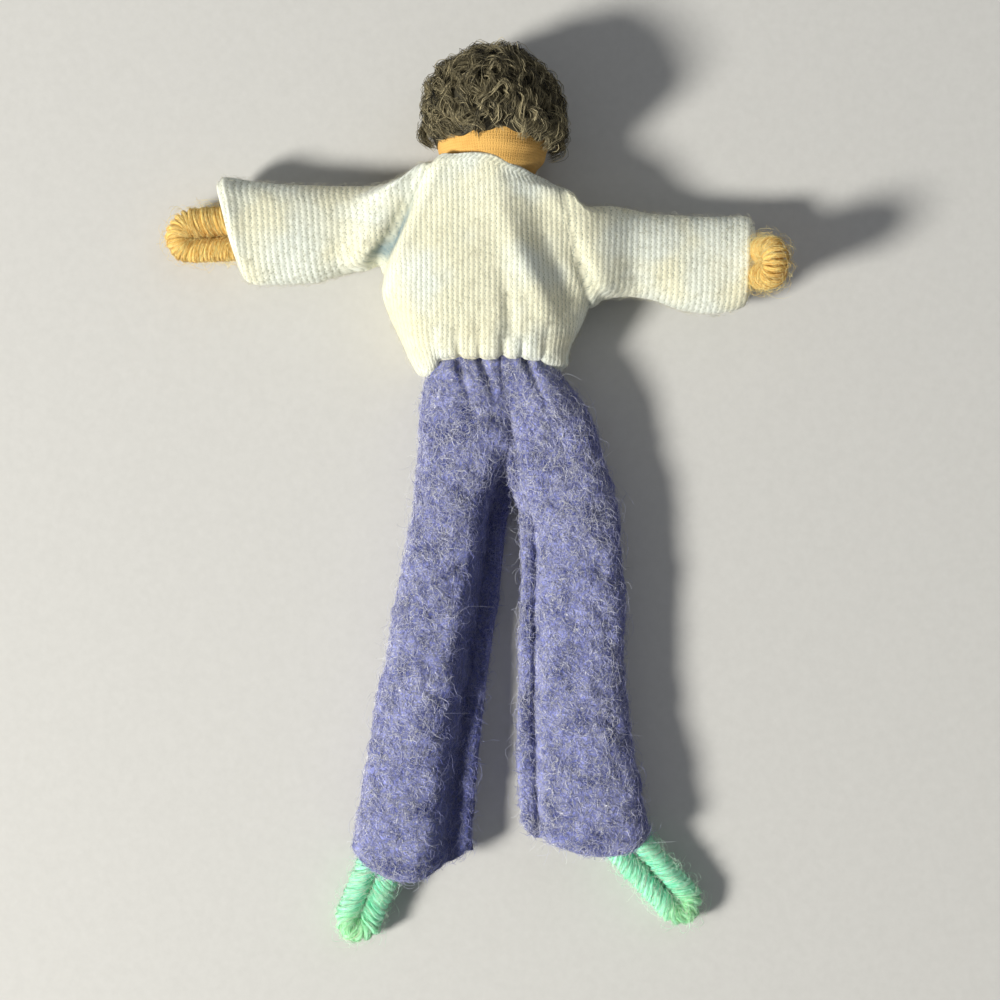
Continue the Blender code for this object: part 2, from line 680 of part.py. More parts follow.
def make_face(centre):
    half = EYE_LENGTH / 2.0
    for name, x in (("eye_left", -EYE_SPACING / 2.0), ("eye_right", EYE_SPACING / 2.0)):
        path = [on_face(centre, x, EYE_HEIGHT + t) for t in (-half, 0.0, half)]
        full, radii = rounded(path, STITCH_RADIUS)
        skin(name, tube_rings(full, radii, point(1.0, 0.0, 0.0), WIRE_SIDES), "head", "thread")
    half = MOUTH_LENGTH / 2.0
    path = [on_face(centre, half * t, -MOUTH_DROP + STITCH_RADIUS * abs(t)) for t in MOUTH_STEP_SHARES]
    full, radii = rounded(path, STITCH_RADIUS)
    skin("mouth_stitch", tube_rings(full, radii, point(0.0, 1.0, 0.0), WIRE_SIDES), "head", "thread")


def hairpin(length, spacing, strand_radius, start):
    """Flat path along one strand, round the tip and back, as distances along and across."""
    bend = spacing / 2.0
    straight = length - strand_radius - bend
    out = between(point(start, bend, 0.0), point(straight, bend, 0.0), HAIRPIN_STRAIGHT_STEPS)
    turn = np.linspace(math.pi / 2.0, -math.pi / 2.0, HAIRPIN_BEND_STEPS)[1:-1]
    round_tip = np.stack([straight + bend * np.cos(turn), bend * np.sin(turn), np.zeros(len(turn))], axis=1)
    return np.concatenate([out, round_tip, out[::-1] * np.array([1.0, -1.0, 1.0])])


def to_limb(flat, origin, along, across):
    return origin + np.outer(flat[:, 0], along) + np.outer(flat[:, 1], across)


def make_winding(name, body, kind, origin, along, across, size):
    """Yarn wound in touching turns round both strands of a hairpin: one ridge that runs on as a
    screw from the first strand round the tip to the end of the second, over a bore for the wire."""
    length, spacing, radius, turns = size
    flat = hairpin(length, spacing, radius, WIRE_SPLAY + WIRE_SETBACK + WIRE_RADIUS + FIT_GAP)
    line = to_limb(flat, origin, along, across)
    binormal = np.cross(along, across)
    steps = np.linalg.norm(np.diff(line, axis=0), axis=1)
    distance = np.concatenate([[0.0], np.cumsum(steps)])
    total = distance[-1]
    pitch = total / turns
    around = np.linspace(0.0, 2.0 * math.pi, WINDING_SIDES, endpoint=False)
    lowest = radius - YARN_RIDGE
    rows = []
    for half_turn in range(2 * turns + 3):
        place = np.clip(((half_turn - 2) / 2.0 + around / (2.0 * math.pi)) * pitch, 0.0, total)
        fade = np.clip(np.minimum(place, total - place) / pitch, 0.0, 1.0)
        size_here = lowest + (YARN_RIDGE * fade if half_turn % 2 == 0 else 0.0)
        rows.append(around_line(line, distance, place, binormal, around, size_here))
    for place in distance[::-1]:
        places = np.full(WINDING_SIDES, place)
        rows.append(around_line(line, distance, places, binormal, around, BORE_RADIUS))
    skin(name, rows, body, kind, loop=True)
    near_tip = pitch * (spacing / 2.0 - radius) / (spacing / 2.0)
    least = near_tip * MILLIMETRES
    print(f"{name}: {turns} turns, pitch {pitch * MILLIMETRES:.2f} mm, {least:.2f} mm inside the tip's bend")


def around_line(line, distance, place, binormal, around, radius):
    """Points at given distances along a flat line, each turned round it by its own angle."""
    centre = np.stack([np.interp(place, distance, line[:, k]) for k in range(3)], axis=1)
    tangents = np.gradient(line, distance, axis=0)
    tangent = np.stack([np.interp(place, distance, tangents[:, k]) for k in range(3)], axis=1)
    tangent /= np.linalg.norm(tangent, axis=1)[:, None]
    normal = np.cross(binormal, tangent)
    turned = normal * np.cos(around)[:, None] + binormal * np.sin(around)[:, None]
    return centre + turned * np.reshape(radius, (-1, 1))


def make_hairpin_wire(name, body, origin, along, across, size):
    """The bare hairpin: its two ends leave the limb's wire side by side and splay to the strands."""
    length, spacing, radius, _ = size
    flat = hairpin(length, spacing, radius, WIRE_SPLAY + WIRE_SETBACK)
    root = point(HAIRPIN_SETBACK, WIRE_RADIUS + FIT_GAP, 0.0)
    flat = np.concatenate([root[None, :], flat, (root * np.array([1.0, -1.0, 1.0]))[None, :]])
    wire(name, body, to_limb(flat, origin, along, across), np.cross(along, across))


def arm_plan(side):
    """Where one arm's bends lie, from the shoulder to the wrist, and how its hand points."""
    left = side == "left"
    sign = -1.0 if left else 1.0
    droop = LEFT_ARM_DROOP if left else RIGHT_ARM_DROOP
    direction = heading(sign, QUARTER_TURN - droop)
    x = TRUNK_X + sign * (TRUNK_HALF_WIDTH - (LEFT_SHOULDER_INSET if left else RIGHT_SHOULDER_INSET))
    y = LEFT_SHOULDER_Y if left else RIGHT_SHOULDER_Y
    shoulder = point(x, y, ARM_Z)
    wrist_reach = SLEEVE_LENGTH - (LEFT_WRIST_INSET if left else RIGHT_WRIST_INSET)
    hand_droop = LEFT_HAND_DROOP if left else RIGHT_HAND_DROOP
    hand_flat = heading(sign, QUARTER_TURN - hand_droop)
    return {
        "sign": sign,
        "direction": direction,
        "shoulder": shoulder,
        "reach": shoulder + direction * SHOULDER_LINK,
        "elbow": shoulder + direction * SLEEVE_LENGTH * ELBOW_SHARE,
        "wrist": shoulder + direction * wrist_reach,
        "hand": pitched(hand_flat, LEFT_HAND_PITCH if left else RIGHT_HAND_PITCH),
        "hand_across": np.cross(UP, hand_flat),
    }


def leg_plan(side):
    """Where one leg's bends lie, from the hip to the ankle, and how its foot points."""
    left = side == "left"
    sign = -1.0 if left else 1.0
    hip = point(LEFT_HIP_X if left else RIGHT_HIP_X, HIP_Y, LEG_Z)
    thigh = heading(sign, LEFT_THIGH_SPLAY if left else RIGHT_THIGH_SPLAY)
    knee = hip + thigh * THIGH
    ankle = knee + heading(sign, SHIN_SPLAY) * SHIN
    ankle[2] = ANKLE_Z
    foot_flat = heading(sign, LEFT_FOOT_SPLAY if left else RIGHT_FOOT_SPLAY)
    return {
        "sign": sign,
        "hip": hip,
        "thigh": thigh,
        "kick": hip + thigh * HIP_LINK,
        "knee": knee,
        "shin": unit(ankle - knee),
        "ankle": ankle,
        "foot": pitched(foot_flat, FOOT_PITCH),
        "foot_across": np.cross(UP, foot_flat),
        "trouser_top": point(LEFT_TROUSER_TOP_X if left else RIGHT_TROUSER_TOP_X, TROUSER_TOP_Y, TROUSER_Z),
        "trouser_hem": point(
            LEFT_TROUSER_HEM_X if left else RIGHT_TROUSER_HEM_X,
            ankle[1] - (LEFT_HEM_DROP if left else RIGHT_HEM_DROP),
            TROUSER_Z,
        ),
        "trouser_half_width": LEFT_TROUSER_HALF_WIDTH if left else RIGHT_TROUSER_HALF_WIDTH,
        "trouser_bow": LEFT_TROUSER_BOW if left else RIGHT_TROUSER_BOW,
    }


def make_sleeve(side, arm):
    """The sleeve in two lengths that meet at the elbow. Its root follows the trunk's edge."""
    toward_head = unit(np.cross(arm["direction"], UP)) * -arm["sign"]
    drop = toward_head * SLEEVE_DROP
    root_centre = arm["shoulder"] - toward_head * SLEEVE_ROOT_DROP
    half_width, half_depth = (s * h for s, h in zip(SLEEVE_ROOT_SHARES, (SLEEVE_HALF_WIDTH, SLEEVE_HALF_DEPTH)))

    def root(wall):
        ring = section(
            root_centre, toward_head, UP, half_width - wall, half_depth - wall, LIMB_SIDES, CLOTH_POWER, LIFT + wall
        )
        edges = trunk_edges(ring[:, 1])
        edge = edges[0] if side == "left" else edges[1]
        ring[:, 0] = edge + arm["sign"] * ROOT_GAP
        return ring

    def at(station, wall):
        share, width, depth = station
        centre = arm["shoulder"] + arm["direction"] * SLEEVE_LENGTH * share - drop
        half, rise = SLEEVE_HALF_WIDTH * width - wall, SLEEVE_HALF_DEPTH * depth - wall
        return section(centre, toward_head, UP, half, rise, LIMB_SIDES, CLOTH_POWER, LIFT + wall)

    def from_root(wall):
        """Rings from the slanting root to the elbow, the second halfway into the straight sleeve."""
        first = root(wall)
        rest = [at(s, wall) for s in upper]
        return [first, first + (rest[0] - first) * SLEEVE_ROOT_MIX_SHARE, *rest]

    upper, lower = SLEEVE_SHARES[:SLEEVE_UPPER_COUNT], SLEEVE_SHARES[SLEEVE_UPPER_COUNT:]
    outer, inner = from_root(0.0), from_root(JERSEY)
    skin(f"sleeve_upper_{side}", outer + inner[::-1], f"upper_arm_{side}", "jersey", loop=True)
    outer = [at(s, 0.0) for s in lower]
    inner = [at(s, JERSEY) for s in lower]
    skin(f"sleeve_lower_{side}", outer + inner[::-1], f"forearm_{side}", "jersey", loop=True)


def make_arm(side, arm):
    along = arm["direction"]
    setback = along * WIRE_SETBACK
    shoulder, reach, elbow, wrist = (arm[k] for k in ("shoulder", "reach", "elbow", "wrist"))
    wire(f"shoulder_bend_{side}", f"shoulder_{side}", between(shoulder + setback, reach - setback, WIRE_STEPS))
    wire(f"upper_arm_wire_{side}", f"upper_arm_{side}", between(reach + setback, elbow - setback, WIRE_STEPS))
    wire(f"forearm_wire_{side}", f"forearm_{side}", between(elbow + setback, wrist - setback, WIRE_STEPS))
    wrap(f"upper_arm_wrap_{side}", f"upper_arm_{side}", reach, elbow, ARM_WRAP_RADIUS)
    wrap(f"forearm_wrap_{side}", f"forearm_{side}", elbow, wrist, ARM_WRAP_RADIUS)
    size = (HAND_LENGTH, HAND_STRAND_SPACING, HAND_STRAND_RADIUS, HAND_TURNS)
    place = (wrist, arm["hand"], arm["hand_across"], size)
    make_hairpin_wire(f"hand_wire_{side}", f"hand_{side}", *place)
    make_winding(f"hand_winding_{side}", f"hand_{side}", "skin_yarn", *place)
    make_sleeve(side, arm)


def make_trouser_leg(side, leg):
    """A felt leg in two lengths that meet at the knee, with its seam edge on the inner side."""
    top, hem = leg["trouser_top"], leg["trouser_hem"]
    along = unit(hem - top)
    inward = unit(np.cross(along, UP)) * leg["sign"]
    bend = -inward * leg["trouser_bow"] * PARABOLA_SHARE

    def at(station, wall):
        share, width, depth = station
        centre = top + (hem - top) * share + bend * share * (1.0 - share)
        half = leg["trouser_half_width"] * width - wall
        rise = TROUSER_HALF_DEPTH * depth - wall
        ring = section(centre, inward, UP, half, rise, LIMB_SIDES, CLOTH_POWER, wall)
        if wall == 0.0:
            ring[0] = ring[0] + inward * INSEAM_RIDGE * share
        return ring

    thigh, shin = TROUSER_SHARES[:TROUSER_THIGH_COUNT], TROUSER_SHARES[TROUSER_THIGH_COUNT:]
    for name, body, stations in (("thigh", "thigh", thigh), ("shin", "shin", shin)):
        outer = [at(s, 0.0) for s in stations]
        inner = [at(s, FELT) for s in stations]
        skin(f"trouser_{name}_{side}", outer + inner[::-1], f"{body}_{side}", "felt", loop=True)


def make_leg(side, leg):
    hip, kick, knee, ankle = (leg[k] for k in ("hip", "kick", "knee", "ankle"))
    thigh, shin = leg["thigh"] * WIRE_SETBACK, leg["shin"] * WIRE_SETBACK
    wire(f"hip_bend_{side}", f"hip_{side}", between(hip + thigh, kick - thigh, WIRE_STEPS))
    wire(f"thigh_wire_{side}", f"thigh_{side}", between(kick + thigh, knee - thigh, WIRE_STEPS))
    wire(f"shin_wire_{side}", f"shin_{side}", between(knee + shin, ankle - shin, WIRE_STEPS))
    wrap(f"thigh_wrap_{side}", f"thigh_{side}", kick, knee, THIGH_WRAP_RADIUS)
    wrap(f"shin_wrap_{side}", f"shin_{side}", knee, ankle, SHIN_WRAP_RADIUS)
    size = (FOOT_LENGTH, FOOT_STRAND_SPACING, FOOT_STRAND_RADIUS, FOOT_TURNS)
    place = (ankle, leg["foot"], leg["foot_across"], size)
    make_hairpin_wire(f"foot_wire_{side}", f"foot_{side}", *place)
    make_winding(f"foot_winding_{side}", f"foot_{side}", "shoe_yarn", *place)
    make_trouser_leg(side, leg)


def hip_path(legs):
    """The hip wire's arch, from one hip up to the waist and down to the other."""
    crown = point(WAIST_X, WAIST_Y - WAIST_LINK - WIRE_SETBACK, WAIST_Z)
    left = legs["left"]["hip"] - legs["left"]["thigh"] * WIRE_SETBACK
    right = legs["right"]["hip"] - legs["right"]["thigh"] * WIRE_SETBACK
    path = []
    for end, turns in ((left, HIP_ARCH_SHARES), (right, HIP_ARCH_SHARES[::-1][1:])):
        for drop, spread in turns:
            place = crown + (end - crown) * np.array([spread, drop, drop])
            path.append(place)
    return path


def make_hips(legs):
    lean = point(WAIST_X, WAIST_Y - WAIST_LINK, WAIST_Z)
    down = point(0.0, -1.0, 0.0)
    bend = point(WAIST_X, WAIST_Y, WAIST_Z)
    wire("waist_wire", "waist", between(bend + down * WIRE_SETBACK, lean - down * WIRE_SETBACK, SHORT_WIRE_STEPS))
    path = hip_path(legs)
    wire("hip_wire", "hips", path)
    across = point(1.0, 0.0, 0.0)
    top_y = WAIST_Y - WAIST_LINK - HIP_PAD_TOP
    bottom_y = HIP_Y + WIRE_SETBACK
    middle_x = (LEFT_HIP_X + RIGHT_HIP_X) / 2.0
    rings = []
    for share, width, depth in HIP_PAD_SHARES:
        x = WAIST_X + (middle_x - WAIST_X) * share
        centre = point(x, top_y + (bottom_y - top_y) * share, LEG_Z + (WAIST_Z - LEG_Z) * (1.0 - share))
        size = (HIP_PAD_HALF_WIDTH * width, HIP_PAD_HALF_DEPTH * depth)
        rings.append(section(centre, across, UP, *size, TRUNK_SIDES // 2, CLOTH_POWER))
    ends = [r.mean(axis=0)[None, :] for r in (rings[0], rings[-1])]
    padding = skin("hip_padding", [ends[0], *rings, ends[1]], "hips", "batting")
    reach = [path[0] + (path[0] - path[1]), *path, path[-1] + (path[-1] - path[-2])]
    radii = [0.0, *[BORE_RADIUS] * len(path), 0.0]
    bore(padding, cutter("hip_bore", tube_rings(reach, radii, UP, WIRE_SIDES), "hips"))
    make_trouser_waist()


def flat_normal(direction):
    return unit(np.cross(direction, UP))


def tell_joint(name, place, axis):
    print(f"{name}: at {np.round(place, 6).tolist()} about {np.round(axis, 5).tolist()}")


def plan_bodies(arms, legs):
    """An empty on every joint, in a tree from the torso, and a line of its place and axis."""
    along = point(0.0, 1.0, 0.0)
    back = point(-1.0, 0.0, 0.0)
    nod = point(NECK_X, NECK_Y, HEAD_Z)
    tilt = nod + along * NECK_LINK
    turn = tilt + along * (WIRE_SETBACK + NECK_LINK + WIRE_RADIUS)
    bend = point(WAIST_X, WAIST_Y, WAIST_Z)
    lean = bend - along * WAIST_LINK
    add_pivot("torso", None, point(0.0, 0.0, 0.0))
    joints = [
        ("neck_nod", "neck_lower", "torso", nod, -back),
        ("neck_tilt", "neck_upper", "neck_lower", tilt, UP),
        ("head_turn", "head", "neck_upper", turn, along),
        ("waist_bend", "waist", "torso", bend, back),
        ("waist_lean", "hips", "waist", lean, UP),
    ]
    for side, arm in arms.items():
        swing = UP * arm["sign"]
        lift = np.cross(arm["direction"], UP)
        flap = -arm["hand_across"]
        joints += [
            (f"shoulder_raise_{side}", f"shoulder_{side}", "torso", arm["shoulder"], swing),
            (f"shoulder_reach_{side}", f"upper_arm_{side}", f"shoulder_{side}", arm["reach"], unit(lift)),
            (f"elbow_{side}", f"forearm_{side}", f"upper_arm_{side}", arm["elbow"], -swing),
            (f"wrist_{side}", f"hand_{side}", f"forearm_{side}", arm["wrist"], flap),
        ]
    for side, leg in legs.items():
        joints += [
            (f"hip_spread_{side}", f"hip_{side}", "hips", leg["hip"], UP * leg["sign"]),
            (f"hip_kick_{side}", f"thigh_{side}", f"hip_{side}", leg["kick"], flat_normal(leg["thigh"])),
            (f"knee_{side}", f"shin_{side}", f"thigh_{side}", leg["knee"], flat_normal(leg["thigh"] + leg["shin"])),
            (f"ankle_{side}", f"foot_{side}", f"shin_{side}", leg["ankle"], -leg["foot_across"]),
        ]
    for name, body, parent, place, axis in joints:
        add_pivot(body, parent, place)
        tell_joint(name, place, axis)


def main():
    clear_scene()
    arms = {side: arm_plan(side) for side in ("left", "right")}
    legs = {side: leg_plan(side) for side in ("left", "right")}
    plan_bodies(arms, legs)
    make_trunk(arms)
    make_yoke()
    make_blouse()
    make_padding(arms)
    make_torso_wires(arms)
    make_head(make_neck())
    make_hips(legs)
    for side, arm in arms.items():
        make_arm(side, arm)
    for side, leg in legs.items():
        make_leg(side, leg)


main()
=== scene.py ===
import json

import bmesh
import bpy
import numpy as np
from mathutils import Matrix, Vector


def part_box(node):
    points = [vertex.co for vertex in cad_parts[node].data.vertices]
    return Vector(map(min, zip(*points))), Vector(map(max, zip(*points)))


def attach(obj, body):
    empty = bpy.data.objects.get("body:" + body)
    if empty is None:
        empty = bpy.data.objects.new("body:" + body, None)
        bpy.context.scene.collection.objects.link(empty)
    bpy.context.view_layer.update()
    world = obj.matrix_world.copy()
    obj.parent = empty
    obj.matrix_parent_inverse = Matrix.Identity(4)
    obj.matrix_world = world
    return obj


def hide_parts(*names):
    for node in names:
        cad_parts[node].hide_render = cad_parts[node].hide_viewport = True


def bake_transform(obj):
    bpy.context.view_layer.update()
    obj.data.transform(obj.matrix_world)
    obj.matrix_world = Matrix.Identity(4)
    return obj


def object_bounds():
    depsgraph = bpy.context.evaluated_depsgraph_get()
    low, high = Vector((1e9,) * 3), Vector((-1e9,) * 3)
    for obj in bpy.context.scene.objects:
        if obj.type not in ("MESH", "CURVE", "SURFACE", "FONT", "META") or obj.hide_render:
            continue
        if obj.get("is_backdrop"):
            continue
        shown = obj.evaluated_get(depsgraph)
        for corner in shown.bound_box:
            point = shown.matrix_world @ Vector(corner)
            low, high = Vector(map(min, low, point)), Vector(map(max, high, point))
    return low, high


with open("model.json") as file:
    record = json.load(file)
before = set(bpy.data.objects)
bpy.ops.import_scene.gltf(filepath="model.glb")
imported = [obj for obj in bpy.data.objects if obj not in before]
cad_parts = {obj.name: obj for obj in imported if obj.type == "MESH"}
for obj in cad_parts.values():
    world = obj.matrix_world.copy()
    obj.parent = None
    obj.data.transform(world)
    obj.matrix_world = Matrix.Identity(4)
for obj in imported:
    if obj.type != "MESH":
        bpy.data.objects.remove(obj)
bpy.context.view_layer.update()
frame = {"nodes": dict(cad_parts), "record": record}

mm = 0.001
turn = 2 * np.pi
print("frame loaded:", len(frame["nodes"]), "nodes")


# numbers and curves; lengths are in millimetres until a mesh is made
def vec(*values):
    return np.array(values, float)


down, upwards = vec(0, -1, 0), vec(0, 0, 1)


def unit(v):
    return v / np.maximum(np.linalg.norm(v, axis=-1, keepdims=True), 1e-9)


def stacked(*values):
    return np.stack(np.broadcast_arrays(*values), axis=-1)


def rounds(count):
    return np.linspace(0, turn, count, endpoint=False)


def ease(x, low, high):
    # 0 below low, 1 above high, a smooth step between
    t = np.clip((x - low) / (high - low), 0, 1)
    return t * t * (3 - 2 * t)


def bell(x, middle, width):
    return np.exp(-(((x - middle) / width) ** 2))


def power(v, exponent):
    return np.sign(v) * np.abs(v) ** exponent


def atLeast(points, floor):
    points[..., 2] = np.maximum(points[..., 2], floor)
    return points


def runLength(points, axis=0):
    # distance along the points from the first one
    steps = np.diff(points, axis=axis, prepend=np.take(points, [0], axis))
    return np.cumsum(np.linalg.norm(steps, axis=-1), axis)


def along(x, pairs):
    # a curve for each column of (place, value, ...) rows: a cubic between each two neighbouring points,
    # each slope taken from the points on both sides
    rows = np.array(pairs, float)
    places, *columns = rows[np.argsort(rows[:, 0])].T
    x = np.clip(x, places[0], places[-1])
    i = np.clip(np.searchsorted(places, x, side="right") - 1, 0, len(places) - 2)
    step = places[i + 1] - places[i]
    t = (x - places[i]) / step
    found = []
    for values in columns:
        slopes = np.gradient(values, places)
        start = (1 + 2 * t) * (1 - t) ** 2 * values[i] + t * (1 - t) ** 2 * step * slopes[i]
        found.append(start + t * t * (3 - 2 * t) * values[i + 1] + t * t * (t - 1) * step * slopes[i + 1])
    return found if len(found) > 1 else found[0]


def lumps(points, size, seed):
    # random heights from -1 to 1 on a lattice of that size, joined smoothly in all three directions
    cell = points / size
    base = np.floor(cell)
    part = ease(cell - base, 0, 1)
    total = 0
    for corner in np.ndindex(2, 2, 2):
        value = np.sin(((base + corner) * vec(127.1, 311.7, 74.7)).sum(-1) + seed * 19.3) * 43758.5453
        share = np.where(np.array(corner) == 1, part, 1 - part).prod(axis=-1)
        total = total + (value - np.floor(value)) * share
    return total * 2 - 1


def seen(px, py, z=5):
    # where a point of the picture lies, at a height above the table: the picture is 0.15 mm a pixel at 5 mm
    away = (291.7 - (z - 5)) / 291.7
    return 2.25 + (px - 500) * 0.15 * away, -34.5 + (500 - py) * 0.15 * away


def furrows(p, folds):
    # soft valleys, each a width and a path of (pixel x, pixel y, height, depth): the depth at the nearest
    # place on the path, times a bell across it; a depth below zero makes a swell
    x, y = p[..., 0], p[..., 1]
    total = 0
    for width, path in folds:
        path = [(*seen(px, py, z), depth) for px, py, z, depth in path]
        best, deep = np.full(x.shape, 1e9), np.zeros(x.shape)
        for (ax, ay, ad), (bx, by, bd) in zip(path, path[1:]):
            dx, dy = bx - ax, by - ay
            t = np.clip(((x - ax) * dx + (y - ay) * dy) / (dx * dx + dy * dy), 0, 1)
            far = np.hypot(x - ax - dx * t, y - ay - dy * t)
            deep = np.where(far < best, ad + (bd - ad) * t, deep)
            best = np.minimum(far, best)
        total = total + deep * bell(best, 0, width)
    return total


# meshes from grids of points
def gridFaces(rows, columns, closed):
    # the four corners of every cell of a grid, wrapped round where it is closed
    r, c = np.meshgrid(np.arange(rows - 1), np.arange(columns if closed else columns - 1), indexing="ij")
    n = (c + 1) % columns
    return stacked(r * columns + c, r * columns + n, (r + 1) * columns + n, (r + 1) * columns + c)


def outward(points, closed=True, rows=None):
    # the grid's normals, square to both of its directions, turned away from the rings' middles,
    # and whether they had to be turned; only the first rows decide it
    across = np.roll(points, -1, 1) - np.roll(points, 1, 1) if closed else np.gradient(points, axis=1)
    normals = unit(np.cross(across, np.gradient(points, axis=0)))
    flip = (normals * (points - points.mean(axis=1, keepdims=True)))[:rows].sum() < 0
    return (-normals if flip else normals), flip


def wrapped(grid):
    return np.concatenate([grid, grid[:, :1]], axis=1)


def rolled(skin, normals, lead, thick, reach):
    # closes the grid's last edge: a round lip just past it, then a lining that walks back under the skin
    arc = ((0.3, 0.12), (0.5, 0.5), (0.3, 0.86))
    lip = [skin[-1:] + lead * thick * a - normals[-1:] * thick * b for a, b in arc]
    lining = skin - normals * thick
    return np.concatenate([*lip, *[lining[-1 - k : len(skin) - k] for k in reach]])


def partOf(points, faces, uv, normals, tones):
    # a part of a mesh; uv is a grid like the points', from which each face takes its four corners
    shape = points.shape[:-1]
    tones = {k: np.broadcast_to(np.reshape(v, np.shape(v) + (1,) * (len(shape) - np.ndim(v))), shape).ravel()
             for k, v in tones.items()}
    uv = np.stack([uv[..., :-1, :-1, :], uv[..., :-1, 1:, :], uv[..., 1:, 1:, :], uv[..., 1:, :-1, :]], axis=-2)
    return {"points": points.reshape(-1, 3), "faces": faces, "uv": uv, "normals": normals.reshape(-1, 3), "tones": tones}


def gridPart(points, uv=None, closed=True, keep=..., shade=None, **tones):
    # one grid as a part of a mesh; shade is what outward gave for the whole grid that this one is cut from
    normals, flip = shade or outward(points, closed)
    faces = gridFaces(*points.shape[:2], closed)
    part = partOf(points, faces, np.zeros((len(points), faces.shape[1] + 1, 2)) if uv is None else uv, normals, tones)
    if flip:
        part["faces"], part["uv"] = part["faces"][..., ::-1], part["uv"][..., ::-1, :]
    part["faces"], part["uv"] = part["faces"][keep], part["uv"][keep]
    return part


def tapered(count, *ends):
    # 1 for each of count points, but these values at both ends
    return np.array([*ends, *[1] * (count - 2 * len(ends)), *ends[::-1]])


def strandPart(lines, radius, sides=3, **tones):
    # a tube round each of many lines: rings square to the line, each turned as little as can be from the last
    count, steps = lines.shape[:2]
    tangent = unit(np.gradient(lines, axis=1))
    across = np.where(np.abs(tangent[:, 0, 2:]) < 0.8, upwards, vec(1, 0, 0))
    side = [unit(np.cross(tangent[:, 0], across))]
    for i in range(1, steps):
        side.append(unit(side[-1] - (side[-1] * tangent[:, i]).sum(-1, keepdims=True) * tangent[:, i]))
    side = np.stack(side, axis=1)
    angle = rounds(sides)[:, None]
    ring = side[:, :, None] * np.cos(angle) + np.cross(tangent, side)[:, :, None] * np.sin(angle)
    points = lines[:, :, None] + ring * np.broadcast_to(radius, (count, steps))[:, :, None, None]
    faces = gridFaces(steps, sides, True) + (np.arange(count) * steps * sides)[:, None, None, None]
    uv = stacked(np.arange(sides + 1) / sides, runLength(lines, 1)[:, :, None] * mm)
    return partOf(points, faces, uv, ring, tones)


def addObject(name, data):
    thing = bpy.data.objects.new(name, data)
    bpy.context.scene.collection.objects.link(thing)
    return thing


def makeMesh(name, look, *parts, ownNormals=True):
    # one object from several parts, in metres, with its UV map, material and tones
    def joined(key, width):
        return np.concatenate([p[key].reshape(-1, width) for p in parts])

    points = joined("points", 3)
    shifts = np.cumsum([0] + [len(p["points"]) for p in parts[:-1]])
    faces = np.concatenate([p["faces"].reshape(-1, 4) + s for p, s in zip(parts, shifts)])
    mesh = bpy.data.meshes.new(name)
    mesh.vertices.add(len(points))
    mesh.vertices.foreach_set("co", (points * mm).astype(np.float32).ravel())
    mesh.loops.add(faces.size)
    mesh.loops.foreach_set("vertex_index", faces.astype(np.int32).ravel())
    mesh.polygons.add(len(faces))
    mesh.polygons.foreach_set("loop_start", np.arange(0, faces.size, 4, dtype=np.int32))
    mesh.polygons.foreach_set("use_smooth", np.ones(len(faces), bool))
    mesh.uv_layers.new(name="cloth").data.foreach_set("uv", joined("uv", 2).astype(np.float32).ravel())
    for tone in sorted({t for p in parts for t in p["tones"]}):
        values = [p["tones"].get(tone, np.zeros(len(p["points"]))) for p in parts]
        mesh.attributes.new(tone, "FLOAT", "POINT").data.foreach_set("value", np.concatenate(values).astype(np.float32))
    mesh.update(calc_edges=True)
    if ownNormals:
        mesh.normals_split_custom_set_from_vertices(joined("normals", 3).astype(np.float32))
    mesh.materials.append(surfaces[look])
    return addObject(name, mesh)


def settle(piece, rule, slot, *nodes):
    # rule is a body's name, or two bodies with the start and end of the bend between them, which are not read: such a
    # piece is only baked in place; nodes are replaced
    if isinstance(rule, str):
        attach(piece, rule)
    else:
        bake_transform(piece)
    if nodes:
        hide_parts(*nodes)
    return piece


def fibresOn(points, normals, count, seed, length, radius, lift, steps, curl=0.5, tone=(0, 1), keep=None, nap=0,
             dye=None):
    # loose fibres: each starts on a random point of the surface, runs along it, rises a little and curls as it goes
    chance = np.random.default_rng(seed)
    points, normals = points.reshape(-1, 3), normals.reshape(-1, 3)
    pick = chance.choice(np.arange(len(points)) if keep is None else np.flatnonzero(keep.ravel()), count)
    out = normals[pick][:, None]
    lean = nap * chance.choice([-1, 1], (count, 1, 1))  # a nap turns them along y
    flat = unit(np.cross(out, chance.normal(size=(count, 1, 3)) + lean * unit(np.cross(down, out))))
    long = chance.uniform(*length, (count, 1, 1))
    t = np.linspace(0, 1, steps)[:, None]
    bend = chance.normal(0, curl, (count, 1, 1)) * long
    rise = chance.uniform(0.2, 1, (count, 1, 1)) * lift * long
    wave = chance.uniform(0, turn, (count, 1, 1))
    lines = points[pick][:, None] + flat * long * t
    lines = lines + np.cross(out, flat) * (bend * t * t + 0.1 * long * np.sin(wave + 7 * t))
    lines = atLeast(lines + out * (rise * np.sin(np.pi * (0.1 + 0.75 * t)) - 0.02), 0.05)
    light = tone[0] + (tone[1] - tone[0]) * chance.random(count) ** 1.5
    # fibres that start in painted shade are painted darker too
    if dye is not None:
        light = light * (1 - 0.75 * dye.ravel()[pick])
    return strandPart(lines, radius * np.array([1] * (steps - 1) + [0.25]), tone=light)


def layCloth(kind, label, side, rows, rule, grids, flip, nodes, hidden, fibres, **tones):
    # one piece of a cloth and the loose fibres on it: rows of the grids of points, normals and UV
    full, shade, uv = [grid if grid is None else grid[rows] for grid in grids]
    tones = {k: v[rows] for k, v in tones.items()}
    look, piece, fuzz, low = cloths[kind]
    part = gridPart(full, uv, shade=(shade, flip), **tones)
    settle(makeMesh(f"{piece}{label}{side.title()}", look, part), rule, look, *nodes)
    outside = full[..., 2] > low
    outside[len(outside) - hidden:] = False
    parts = [fibresOn(full, shade, keep=outside, **given) for given in fibres]
    if parts:
        settle(makeMesh(f"{fuzz}{label}{side.title()}", look + "Fuzz", *parts), rule, look)


